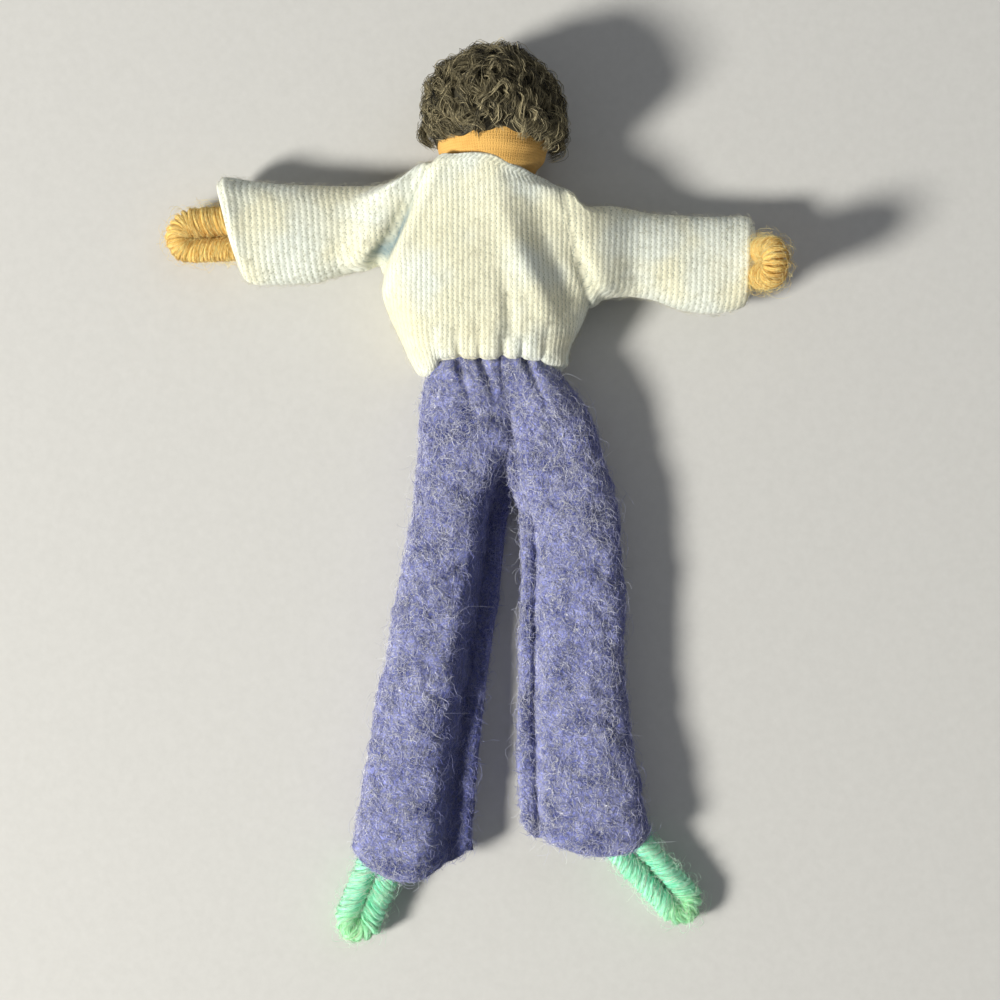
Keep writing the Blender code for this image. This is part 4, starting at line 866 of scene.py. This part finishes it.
outside = (beyond(kept, "left") < -0.5) & (beyond(kept, "right") < -0.5) & (kept[..., 2] > 1)
outer = unit(kept - kept.mean(axis=1, keepdims=True))
part = fibresOn(kept, outer, count=3400, seed=60, keep=outside, **jerseyFuzz)
settle(makeMesh("jerseyFibresTrunk", "jerseyFuzz", part), "torso", "jersey")
print("shirt: sleeves and loose fibres")


# the trousers: each leg is a felt tube from under the shirt to an open hem
legs = {
    "left": {
        # y, outer x, inner x
        "edges": [(-11.5, -8.2, 4.2), (-16, -8.9, 4.7), (-20.5, -9.4, 5.6), (-26.4, -9.9, 5.9), (-31.5, -10.3, 5.1),
                  (-34.5, -10.6, 4), (-38, -11, 3.2), (-42, -11.7, 2.8), (-49.5, -13.4, 2),
                  (-57, -14.7, 0.9), (-64.5, -16.1, -0.1), (-72, -17.3, -0.9), (-79.5, -18.6, -1.6),
                  (-86, -19.6, -2.1), (-92, -19.9, -2.4)],
        # x, y
        "hem": [(-21, -85.6), (-19.6, -87.2), (-17, -89), (-12.5, -90.6), (-8, -90.2), (-5, -88.6),
                (-2, -86.9)],
        "seam": "broad", "seamFrom": -23, "sunk": 0.55,
        "folds": [(0.62, [(459, 362, 9.5, 0.9), (464, 385, 9.5, 0.75), (474, 418, 9, 0.1)]),
                  (0.6, [(438, 366, 9, 0.3), (437, 392, 9, 0)]),
                  (0.6, [(481, 358, 9.5, 0.8), (487, 378, 9.5, 0.7), (495, 400, 9, 0.3)]),
                  (1.3, [(492, 560, 8, 0), (482, 640, 8, 0.1), (468, 740, 8, 0.25), (452, 850, 8, 0.25)])],
    },
    "right": {
        "edges": [(-11.5, 9.8, 0.9), (-15, 10.8, 0.8), (-18, 13, 1), (-21.75, 15.4, 1.6), (-26.4, 17.3, 2.4),
                  (-31.5, 18.8, 3.7), (-36, 19.9, 5.2), (-42, 20.4, 5.4), (-49.5, 20.9, 5.2), (-57, 21, 5.1),
                  (-64.5, 21.4, 5), (-72, 22.2, 5), (-79.5, 23.8, 5.1), (-84.5, 24.7, 5.4), (-90, 24.9, 5.7)],
        "hem": [(4.6, -82.2), (6.5, -84), (9, -85.3), (13, -86.4), (18, -87), (22, -86.4), (25, -84.8)],
        "seam": "narrow", "seamFrom": -30, "sunk": 0,
        "folds": [(0.7, [(526, 360, 9.5, 0.9), (534, 380, 9.5, 0.8), (547, 406, 9, 0.2)]),
                  (0.7, [(545, 364, 9, 0.5), (560, 385, 9, 0.3), (572, 402, 8, 0)]),
                  (1.8, [(552, 470, 8, 0), (556, 560, 8, 0.25), (549, 640, 8, 0)])],
    },
}
trousers = {
    "knee": -75, "kneeShare": 0.84,  # above this y the rows are level, and this share of them lies there
    # y, middle z, half depth
    "depth": [(-11.5, 5.2, 3.9), (-15, 5.1, 4.55), (-19, 4.75, 4.7), (-25, 4.35, 4.6), (-40, 4.2, 4.55),
              (-60, 4.2, 4.5), (-78, 4.25, 4.55), (-92, 4.3, 4.6)],
    # round a leg from its outer edge over the back to the seam, in shares of half width and half depth
    "plain": [(0, -1, 0), (0.09, -0.97, 0.37), (0.2, -0.85, 0.67), (0.33, -0.58, 0.89), (0.46, -0.25, 1),
              (0.58, 0.08, 1.01), (0.7, 0.42, 0.92), (0.8, 0.7, 0.77), (0.88, 0.88, 0.54), (0.94, 0.97, 0.3),
              (1, 1, 0)],
    "broad": [(0, -1, 0), (0.09, -0.97, 0.37), (0.2, -0.85, 0.67), (0.33, -0.6, 0.89), (0.45, -0.3, 1),
              (0.54, -0.05, 1.01), (0.61, 0.16, 0.94), (0.66, 0.31, 0.81), (0.70, 0.42, 0.58), (0.735, 0.5, 0.3),
              (0.77, 0.56, 0.02), (0.81, 0.63, -0.15), (0.86, 0.74, -0.05), (0.91, 0.86, 0.04), (0.96, 0.94, 0),
              (0.99, 0.99, -0.18), (1, 1, -0.35)],
    "narrow": [(0, -1, 0), (0.09, -0.97, 0.37), (0.2, -0.85, 0.67), (0.33, -0.6, 0.89), (0.46, -0.3, 1),
               (0.58, 0.02, 0.98), (0.68, 0.32, 0.88), (0.76, 0.53, 0.70), (0.82, 0.66, 0.42), (0.85, 0.715, 0.22),
               (0.88, 0.77, 0.33), (0.93, 0.87, 0.38), (0.97, 0.95, 0.34), (0.99, 0.99, 0.2), (1, 1, 0)],
    # where both legs touch their tops sink, deeper below the hip padding
    "between": [(0.8, [(503, 366, 9.5, 0.3), (508, 405, 9.5, 0.3), (512, 432, 9, 0.8), (516, 455, 8.5, 1),
                       (519, 490, 8, 0.9)])],
    # at each bend: the two bodies, and y where it starts and ends; then y of the cut below it and the loose fibres
    "bends": {"Band": ("torso", "waist", -12.3, -15, -15.2, 0), "Seat": ("waist", "hips", -15.5, -18.3, -18.6, 800),
              "Hip": ("hips", "hip", -19, -25, -25.3, 2200), "Thigh": ("hip", "thigh", -25.6, -33, -40, 4600),
              "Shin": ("thigh", "shin", -48, -63, None, 8600)},
}


def legSection(y, spec, place):
    # place runs from 0 at the outer edge over the back to 1 at the seam and on under the front to 2
    outer, inner = along(y, spec["edges"])
    z, depth = along(y, trousers["depth"])
    over = np.where(place <= 1, place, 2 - place)
    plainX, plainZ = along(over, trousers["plain"])
    seamX, seamZ = along(over, trousers[spec["seam"]])
    seam = ease(y, spec["seamFrom"], spec["seamFrom"] - 14)
    seamZ = seamZ - spec["sunk"] * ease(over, 0.66, 0.8) * ease(y, -74, -46) * ease(y, -25, -33)
    x = (outer + inner) / 2 + (inner - outer) / 2 * (plainX + (seamX - plainX) * seam)
    height = np.where(place <= 1, plainZ + (seamZ - plainZ) * seam, -np.maximum(plainZ, -seamZ * seam))
    return atLeast(stacked(x, y, z + depth * height), 0.1)


def trouserFolds(p, folds):
    # the gathers at the waist and long soft folds on the back, and small waves under the front
    under = 0.3 * np.cos(p[..., 0] * turn / 2.9 + 1.0) * ease(p[..., 1], -26.0, -14.0) * ease(p[..., 2], 3.0, 1.0)
    return under - furrows(p, folds) * ease(p[..., 2], 4.5, 7)


def makeLeg(spec, rows=170, columns=132):
    # rows run from the hidden top down to the hem, over its thick edge and back up inside
    place = np.linspace(0, 2, columns, endpoint=False)
    t = np.linspace(0, 1, rows)[:, None]
    knee, share = trousers["knee"], trousers["kneeShare"]
    hem = along(legSection(-86, spec, place)[:, 0], spec["hem"])
    y = np.where(t < share, -11.8 + (knee + 11.8) * t / share, knee + (hem - knee) * (t - share) / (1 - share))
    outer = legSection(y, spec, place)
    normals, _ = outward(outer)
    push = lumps(outer * vec(1, 0.7, 1), 5, 5) * 0.34 * ease(y, -14, -20)
    push = push + lumps(outer, 1.7, 6) * 0.26 + lumps(outer, 0.75, 8) * 0.13
    push = push + trouserFolds(outer, spec["folds"]) * ease(y, -12, -13.6)
    push = push + 0.22 * ease(t, 0.965, 0.99) - 0.5 * ease(t, 0.985, 1) - 1 * ease(y, -14.2, -12.2)
    skin = outer + normals * push[..., None]
    skin[..., 2] -= furrows(skin, trousers["between"]) * ease(skin[..., 2], 5, 7) * ease(y, -13, -15)
    thick = 1 - 0.75 * bell(place, 1, 0.22)[:, None]  # thin where both layers meet in the seam
    full = atLeast(np.concatenate([skin, rolled(skin, normals, down, thick, (1, 4, 9, 16))]), 0.03)
    return full, *outward(full, rows=rows), place


# short fibres, and long ones a twelfth as many
feltFuzz = {1: {"length": (0.4, 1.5), "radius": 0.031, "lift": 0.3, "steps": 3},
            12: {"length": (1.4, 3.2), "radius": 0.016, "lift": 0.5, "steps": 7, "curl": 0.7, "tone": (0.5, 1)}}
for side, spec in legs.items():
    full, shade, flip, over = makeLeg(spec)
    # painted shade: the felt is coloured deeper on the flank that faces right, away from the key lamp, and beside the
    # left leg's seam
    dye = 0.8 * ease(shade[..., 0], 0.35, 1)
    if side == "left":
        dye = np.maximum(dye, 0.9 * ease(over, 0.58, 0.7) * ease(over, 1.25, 1.05) * ease(full[..., 1], -24, -38))
    height = full[:170, :, 1].mean(axis=1)
    low = 0
    for label, (first, second, start, end, cut, count) in trousers["bends"].items():
        high = len(full) - 1 if cut is None else int(np.argmax(height <= cut))
        rows = slice(low, high + 1)
        bodies = [name if name in ("torso", "waist", "hips") else f"{name}_{side}" for name in (first, second)]
        rule = (*bodies, (0, start, 4), (0, end, 4))
        nodes = [f"trouser_{label.lower()}_{side}"] if label in ("Thigh", "Shin") else []
        nodes += ["trouser_waist"] if (label, side) == ("Seat", "left") else []
        seed = 40 + len(label) * 7 + len(side)
        loose = [{**given, "count": count // share, "seed": seed + k, "dye": dye[rows], "nap": 0.8}
                 for k, (share, given) in enumerate(feltFuzz.items()) if count]
        layCloth("felt", label, side, rows, rule, (full, shade, None), flip, nodes, 5 * (cut is None), loose, dye=dye)
        low = high
print("trousers and felt fibres made")


# hands and feet: two-ply yarn wound round a hairpin
windings = {
    "hand_left": {"root": (-35.334, 5.4, 5), "along": (-0.98481, -0.03, -0.17365), "across": (0, -1, 0),
                  "length": 13.3, "spacing": 4.1, "radii": (1.8, 2.3), "turns": 42, "start": -0.6, "tilt": 0.35},
    "hand_right": {"root": (40.2, 0.9, 5), "along": (0.19, -0.095, 0.977), "across": (0.05234, 0.99863, 0),
                   "length": 12.1, "spacing": 3.7, "radii": (1.9, 1.9), "turns": 38, "start": 0.6, "tilt": 0},
    "foot_left": {"root": (-14.207, -85.463, 3.4), "along": (-0.36966, -0.92422, -0.09585),
                  "across": (0.92849, -0.37137, 0)},
    "foot_right": {"root": (20.339, -85.342, 3.4), "along": (0.66605, -0.73972, -0.09585),
                   "across": (0.74314, 0.66913, 0)},
}
windingKinds = {
    "hand": {"look": "skin", "yarn": 0.36, "filaments": 3900},
    "foot": {"look": "shoe", "yarn": 0.5, "filaments": 3700, "length": 17.1, "spacing": 3.6, "radii": (1.78, 1.78),
             "turns": 35, "start": -0.5, "tilt": 0.6},
}


def hairpinLine(spec, s):
    # place and direction at a distance along the hairpin: out on one strand, round the tip, back on the other
    bend = spec["spacing"] / 2
    straight = spec["length"] - max(spec["radii"]) - bend - spec["start"]
    arc = np.clip((s - straight) / bend, 0, np.pi)[..., None]
    forward = spec["start"] + np.minimum(s, straight) - np.maximum(s - straight - np.pi * bend, 0)
    ahead, aside = unit(vec(*spec["along"])), unit(vec(*spec["across"]))
    outer = np.cos(arc) * aside + np.sin(arc) * ahead
    line = vec(*spec["root"]) + forward[..., None] * ahead + bend * outer
    first, second = spec["radii"]
    return line, outer, np.cross(ahead, aside), first + (second - first) * arc[..., 0] / np.pi


def windYarn(name, spec, steps=26):
    # the yarn's line is a screw round the hairpin; its fibres run beside that line, each wandering a little in and out
    bend, yarn, filaments = spec["spacing"] / 2, spec["yarn"], spec["filaments"]
    total = 2 * (spec["length"] - max(spec["radii"]) - bend - spec["start"]) + np.pi * bend
    t = np.linspace(0, 1, spec["turns"] * steps)
    angle = t * turn * spec["turns"]
    s = np.clip(t * total + spec["tilt"] * 1.6 * np.cos(angle) * np.sign(0.5 - t), 0, total)
    line, outer, flat, radius = hairpinLine(spec, s)
    uneven = 1 + 0.03 * np.sin(angle * 0.37) + 0.03 * np.sin(angle * 0.23 + 1)
    around = outer * np.cos(angle)[:, None] + flat * np.sin(angle)[:, None]
    core = line + ((radius - yarn) * uneven)[:, None] * around
    up = unit(np.cross(unit(np.gradient(core, axis=0)), around))
    inner = ease(-np.cos(angle), -0.1, 0.9)  # the side that looks at the other strand lies in shade
    tip = 0.6 * ease(np.abs(t - 0.5), 0.16, 0.02)
    soft = strandPart(core[None], yarn * 0.92, 8, deep=(0.06 + 0.6 * inner)[None], tip=tip[None])
    middle, _, _, width = hairpinLine(spec, np.linspace(0, total, 60))
    # painted shade: the filler in the groove between both strands takes the yarn's dark colour
    filler = strandPart(middle[None], (width - yarn * 1.4) * tapered(60, 0), 12, deep=0.9)
    body = makeMesh(name, spec["look"] + "Yarn", filler, soft)
    chance = np.random.default_rng(len(name) + len(core))
    span = steps // 3
    begin = chance.integers(1, len(core) - span - 1, filaments)
    rows = begin[:, None] + np.arange(0, span + 1, 2)
    each = (filaments, 1)
    share = np.linspace(0, 1, rows.shape[1])
    off = chance.uniform(0, turn, each) + share * chance.normal(0, 1.2, each)
    far = yarn * chance.uniform(0.75, 1.25, each) * (1 + 0.5 * chance.random(each) ** 4)
    lines = core[rows] + around[rows] * (far * np.cos(off))[..., None] + up[rows] * (far * np.sin(off))[..., None]
    # fibres on the inner side are painted darker, as shade
    shade = np.clip(chance.uniform(0, 1, filaments) * (1 - 0.8 * inner[begin]), 0, 1)
    beside = strandPart(lines, tapered(rows.shape[1], 0.3) * 0.038, tone=shade, tip=tip[begin])
    away = fibresOn(core + around * yarn * 0.7, around, filaments // 4, 90 + len(name), (0.6, 2.4), 0.016, lift=0.7,
                    steps=6, curl=0.7, tone=(0.5, 1))
    return body, makeMesh(name + "Fibres", spec["look"] + "Fuzz", beside, away)


for key, spec in windings.items():
    kind, side = key.split("_")
    spec = {**windingKinds[kind], **spec}
    body, hairs = windYarn(f"{kind}Yarn{side.title()}", spec)
    settle(body, key, spec["look"] + "_yarn", f"{kind}_winding_{side}")
    settle(hairs, key, spec["look"] + "_yarn")
print("hands and feet wound")

# the head: a stuffed cloth ball, drawn in and tied at the neck
head = {"middle": vec(1.2, 21.75, 8.9), "radius": 8.5, "below": 9.7, "power": 2.7, "gathers": 15}


def headSurface(polar, angle):
    # a ball above its middle, a fuller bag below it; polar runs from 0 at the crown to 1 at the neck
    up = np.cos(polar * np.pi)
    low = up < 0
    bag = (1 - np.abs(up) ** head["power"]) ** (1 / head["power"])
    radius = np.where(low, bag, np.sin(polar * np.pi)) * head["radius"]
    y = up * np.where(low, head["below"], head["radius"])
    return head["middle"] + stacked(radius * np.sin(angle), y, radius * np.cos(angle))


def makeHead():
    # rows from the crown down, with gathers that deepen towards the tie, and a short frill below it
    polar = np.linspace(0, 0.965, 90)[:, None]
    angle = rounds(160)
    skin = headSurface(polar, angle)
    folds = ease(polar, 0.74, 0.96) * 0.28 * np.cos(angle * head["gathers"] + 1.3 * np.sin(angle * 2))
    folds = folds + 0.12 * np.sin(skin[..., 1] * 2.6 + 1.5 * np.sin(angle * 3)) * ease(polar, 0.5, 0.75)
    skin = skin + unit(skin - head["middle"]) * (folds + lumps(skin, 3.5, 12) * 0.12)[..., None]
    neck = skin[-1:].mean(axis=1, keepdims=True)
    wave = 1 + 0.12 * np.cos(angle * head["gathers"])[:, None]
    frill = ((0.8, 0.35), (0.95, 0.8), (1.1, 1.2), (0.9, 1.25), (0.5, 0.6), (0, 0.5))  # share of the ring, drop
    full = np.concatenate([skin, *[neck + (skin[-1:] - neck) * k * wave + down * drop for k, drop in frill]])
    u = head["radius"] * np.append(angle, turn)
    return gridPart(full, stacked(u, runLength(full[:, 0])[:, None]) * mm)


headPiece = makeMesh("headCloth", "skinCloth", makeHead(), ownNormals=False)
settle(headPiece, "head", "skin_cloth", "head_cover")

# hair: a dark cap of short curled locks, each a bundle of fine fibres
hair = {"locks": 250, "fibres": 12, "pieces": 3, "steps": 8, "thick": 0.036, "cap": 1.2}


def hairLine(angle):
    # y of the hair's lower edge: low at the nape and sides, high over the face; angle 0 is the back
    away = np.abs((angle + np.pi) % turn - np.pi)
    ragged = 0.45 * np.sin(9 * angle) * np.sin(4 * angle + 1)
    return 19.2 - 0.9 * np.sin(away) ** 2 + 6.4 * ease(away, 1.9, 2.75) + ragged


def makeCap():
    # a second skin over the head down to the hairline, thin at its edge and lumpy
    angle = rounds(120)
    share = np.linspace(0, 1, 44)[:, None]
    edge = np.clip((hairLine(angle) - head["middle"][1]) / head["radius"], -0.999, 0.999)
    base = headSurface(np.arccos(edge) / np.pi * share, angle)
    out = unit(base - head["middle"])
    thick = hair["cap"] * (1 - ease(share, 0.8, 1) * 0.9) + lumps(base, 1.6, 31) * 0.3 * (1 - ease(share, 0.9, 1))
    skin = atLeast(base + out * thick[..., None], -0.3)
    return gridPart(np.concatenate([skin, base[-1:] - out[-1:] * 0.1]), tone=0.05)


def makeLocks(seed):
    # each lock leaves the ball, arches over and curls back; its fibres run side by side with small waves of their own
    chance = np.random.default_rng(seed)
    tries = unit(chance.normal(size=(4000, 3)))
    y = head["middle"][1] + tries[:, 1] * head["radius"]
    out = tries[y > hairLine(np.arctan2(tries[:, 0], tries[:, 2])) + 0.25][: hair["locks"]]
    count, fibres, steps = len(out), hair["fibres"], hair["steps"]
    each = (count, 1, 1)
    swirl = unit(np.cross(out, vec(0.15, 0.35, 1)))
    droop = unit(down - (down * out).sum(-1, keepdims=True) * out)
    right = ease(out[:, :1], -0.3, 0.4)  # the right side hangs down, the left swirls
    mix = chance.normal(0, 0.5, (count, 2))
    lead = unit(swirl * (0.9 * (1 - right) + mix[:, :1]) + droop * (0.35 + 0.8 * right + mix[:, 1:]))
    aside, lead, out = np.cross(out, lead)[:, None], lead[:, None], out[:, None]
    t = np.linspace(0, 1, steps)[:, None]
    long, arch = chance.uniform(2.6, 4.6, each), chance.uniform(0.6, 2, each)
    curl = chance.uniform(0.2, 0.6, each) * chance.choice([-1, 1], each)
    phase = chance.uniform(0, turn, each)
    wind = chance.uniform(0.7, 1.2, each) * turn * t + phase
    bulk = 0.75 + 0.75 * lumps(out * head["radius"], 4, 61)[..., None]
    line = head["middle"] + out * (head["radius"] + bulk + arch * np.sin(np.pi * (0.08 + 0.84 * t)) + 0.3 * np.cos(wind))
    line = line + lead * long * (t - 0.35) + aside * curl * np.sin(wind)
    out, aside = out[:, None], aside[:, None]
    parted = chance.normal(0, 0.27, (count, fibres, 1, 2))
    lines = line[:, None] + out * parted[..., :1] + aside * parted[..., 1:]
    lines = lines + chance.normal(0, 0.24, (count, fibres, 1, 3)) * t
    small = chance.uniform(0, turn, (count, fibres, 1, 1))
    lines = lines + (aside * np.sin(9 * t + small) + out * np.cos(8 * t + small)) * 0.13
    total = count * fibres
    shade = np.repeat(chance.uniform(-0.08, 0.32, count), fibres) + chance.normal(0.05, 0.12, total)
    # about one fibre in six is coloured light, standing in for glints: painted highlights; the rest vary at random
    shade = np.where(chance.random(total) < 0.17, chance.uniform(0.3, 1, total), np.clip(shade, 0, 1))
    thick = np.array([0.6] + [1] * (steps - 2) + [0.2]) * hair["thick"]
    return strandPart(atLeast(lines.reshape(total, steps, 3), -0.4), thick, tone=shade)


settle(makeMesh("hairCap", "hair", makeCap(), ownNormals=False), "head", "hair_yarn", "hair")
for k in range(hair["pieces"]):
    settle(makeMesh(f"hairLocks{k + 1}", "hair", makeLocks(5 + k)), "head", "hair_yarn")
print("head and hair made")

# stitches of the plain face: x and y of both ends from the head's middle, and how far the middle hangs
stitches = {"radius": 0.13, "clear": 0.12, "eye": [(-0.42, 0.3), (-0.21, 0.08), (0, 0), (0.21, 0.08), (0.42, 0.3)],
            "eyes": {"left": -3.2, "right": 3.2},
            "mouth": [(-1.5, -3.3, -0.1, -3.5, 0.08), (0.1, -3.5, 1.5, -3.3, 0.08), (-0.7, -3.36, 0.7, -3.36, 0.1)]}


def stitchPiece(name, node, rows, steps=12):
    # each stitch leaves the cloth, runs just clear of it and goes back in
    t = np.linspace(0, 1, steps)
    x0, y0, x1, y1, bow = np.array(rows).T[..., None]
    x, y = x0 + (x1 - x0) * t, y0 + (y1 - y0) * t - bow * 4 * t * (1 - t)
    ball = head["radius"] + stitches["clear"] + 0.3 * np.sin(np.pi * t) ** 0.5
    lines = head["middle"] + stacked(x, y, -np.sqrt(ball**2 - x**2 - y**2))
    part = strandPart(lines, stitches["radius"] * tapered(steps, 0.3, 0.8), 8, deep=0.3)
    settle(makeMesh(name, "thread", part), "head", "thread", node)


for side, x in stitches["eyes"].items():
    rows = [(x + dx, 0.25 + cut, x + dx, 1.75 - cut, 0) for dx, cut in stitches["eye"]]
    stitchPiece(f"eyeStitch{side.title()}", f"eye_{side}", rows)
stitchPiece("mouthStitch", "mouth_stitch", stitches["mouth"])


def threadRing(name, look, middle, wide, deep, turns, radius):
    # two plies wound several times round a flat oval, each turn beside the last
    t = np.linspace(0, 1, 48 * turns)
    angle = t * turn * turns
    cos, sin = np.cos(angle), np.sin(angle)
    line = middle + stacked(wide * cos, (t - 0.5) * radius * 2 * turns, deep * sin)
    plies = []
    for twist in (angle * 14, angle * 14 + np.pi):
        off = stacked(cos * np.cos(twist), np.sin(twist), sin * np.cos(twist)) * radius * 0.45
        plies.append(strandPart((line + off)[None], radius * 0.6, 6, deep=0))
    return makeMesh(name, look, *plies)


def boxOf(node):
    # middle and half size of a solid's box
    low, high = np.array(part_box(node)) / mm
    return (high + low) / 2, (high - low) / 2


settle(threadRing("neckTie", "thread", vec(1.2, 12.75, 8.9), 2.5, 2.5, 3, 0.2), "head", "thread", "neck_tie")
middle, size = boxOf("waist_thread")
ring = threadRing("waistThread", "whiteThread", middle, size[0] - 0.1, size[2] - 0.1, 2, 0.18)
settle(ring, "hips", "white_thread", "waist_thread")
print("stitches and threads made")


# what is inside: yarn wraps on the limbs, batting in the trunk, hips and head
def makeWrap(name, first, last, radius, columns=28):
    # a yarn roll round the wire: a tube with a screw ridge that swells from its ends
    t = np.linspace(0, 1, 90)[:, None]
    angle = rounds(columns)
    run = last - first
    side = unit(np.cross(upwards, run))
    ridge = 0.14 * np.abs(np.cos((angle + t * turn * np.linalg.norm(run) / 1.1) / 2))
    size = radius * (0.5 + 0.5 * ease(t, 0, 0.16) * ease(t, 1, 0.84)) - 0.14 + ridge
    ring = side * np.cos(angle)[:, None] + unit(np.cross(run, side)) * np.sin(angle)[:, None]
    skin = first + run * t[..., None] + size[..., None] * ring
    ends = [np.tile(end, (1, columns, 1)) for end in (first, last)]
    return makeMesh(name, "batting", gridPart(np.concatenate([ends[0], skin, ends[1]])), ownNormals=False)


# each limb: its joints from trunk to tip, and each wrap's radius
limbs = {
    "left": {"arm": [(-15.113, 7.695, 5), (-23.836, 6.531, 5), (-35.334, 4.996, 5)],
             "leg": [(-2.885, -27.402, 4.2), (-7.196, -55.574, 4.2), (-14.207, -85.463, 3.4)]},
    "right": {"arm": [(16.477, 3.311, 5), (25.229, 2.391, 5), (40.445, 0.792, 5)],
              "leg": [(8.379, -27.386, 4.2), (13.328, -55.453, 4.2), (20.339, -85.342, 3.4)]},
}
wraps = {"arm": {"upper_arm": 2.3, "forearm": 2.3}, "leg": {"thigh": 2.9, "shin": 2.6}}
for side, limb in limbs.items():
    for kind, sizes in wraps.items():
        for k, (name, radius) in enumerate(sizes.items()):
            first, last = vec(*limb[kind][k]), vec(*limb[kind][k + 1])
            lead = unit(last - first) * 1.9
            wrap = makeWrap(name.replace("_a", "A") + "Wrap" + side.title(), first + lead, last - lead, radius)
            settle(wrap, f"{name}_{side}", "batting", f"{name}_wrap_{side}")


def fullerCopy(name, node, seed):
    # the CAD solid's own form, merged, made finer, and lumpy like pressed batting
    mesh, shape = frame["nodes"][node].data.copy(), bmesh.new()
    shape.from_mesh(mesh)
    bmesh.ops.remove_doubles(shape, verts=shape.verts, dist=1e-6)
    long = [edge for edge in shape.edges if edge.calc_length() > 0.0012]
    bmesh.ops.subdivide_edges(shape, edges=long, cuts=1, use_grid_fill=True)
    bmesh.ops.triangulate(shape, faces=shape.faces)
    shape.to_mesh(mesh)
    shape.free()
    points, normals = np.zeros((2, len(mesh.vertices), 3), np.float32)
    mesh.vertices.foreach_get("co", points.ravel())
    mesh.vertex_normals.foreach_get("vector", normals.ravel())
    points = points / mm
    points = points + normals * (lumps(points, 1.5, seed) * 0.12)[:, None]
    mesh.vertices.foreach_set("co", (points * mm).astype(np.float32).ravel())
    mesh.materials.clear()
    mesh.materials.append(surfaces["batting"])
    mesh.polygons.foreach_set("use_smooth", np.ones(len(mesh.polygons), bool))
    mesh.update()
    body = next(b for b, members in frame["record"]["behaviour"]["bodies"].items() if node in members)
    return settle(addObject(name, mesh), body, "batting", node)


for seed, (name, node, fill) in enumerate((("chestBatting", "chest_padding", 0.8), ("hipBatting", "hip_padding", 0.8),
                                           ("headStuffing", "head_ball", 0.95)), 51):
    fullerCopy(name, node, seed)
for node in frame["nodes"].values():
    if not node.hide_render:
        node.data.materials.clear()
        node.data.materials.append(surfaces["wire"])
print("wraps and batting made")


# table, light and camera
def makeLight(name, place, size, power, colour):
    lamp = bpy.data.lights.new(name, "AREA")
    lamp.shape, lamp.size, lamp.energy, lamp.color = "DISK", size, power, colour
    holder = addObject(name, lamp)
    holder.location = place
    holder.rotation_euler = (Vector((0, -0.03, 0)) - Vector(place)).to_track_quat("-Z", "Y").to_euler()


edge = np.linspace(-900, 900, 7)
makeMesh("table", "table", gridPart(stacked(edge, edge[:, None], -0.62), closed=False), ownNormals=False)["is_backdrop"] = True
makeLight("key", (-0.82, -0.38, 0.66), 0.25, 18, (1, 0.975, 0.90))
makeLight("fill", (0.35, 0.35, 0.45), 0.45, 0.35, (0.93, 0.96, 1))
world = bpy.data.worlds.new("room")
world.use_nodes = True
link(world.node_tree.nodes["Background"], {0: (0.93, 0.96, 1, 1), 1: 0.2})
bpy.context.scene.world = world
lens = bpy.data.cameras.new("above")
lens.lens, lens.sensor_width = 70, 36
lens.clip_start, lens.clip_end = 0.01, 5
camera = addObject("above", lens)
camera.location = (0.00225, -0.0345, 0.2967)
bpy.context.scene.camera = camera
bpy.context.scene.view_settings.view_transform = "Standard"

low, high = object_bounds()
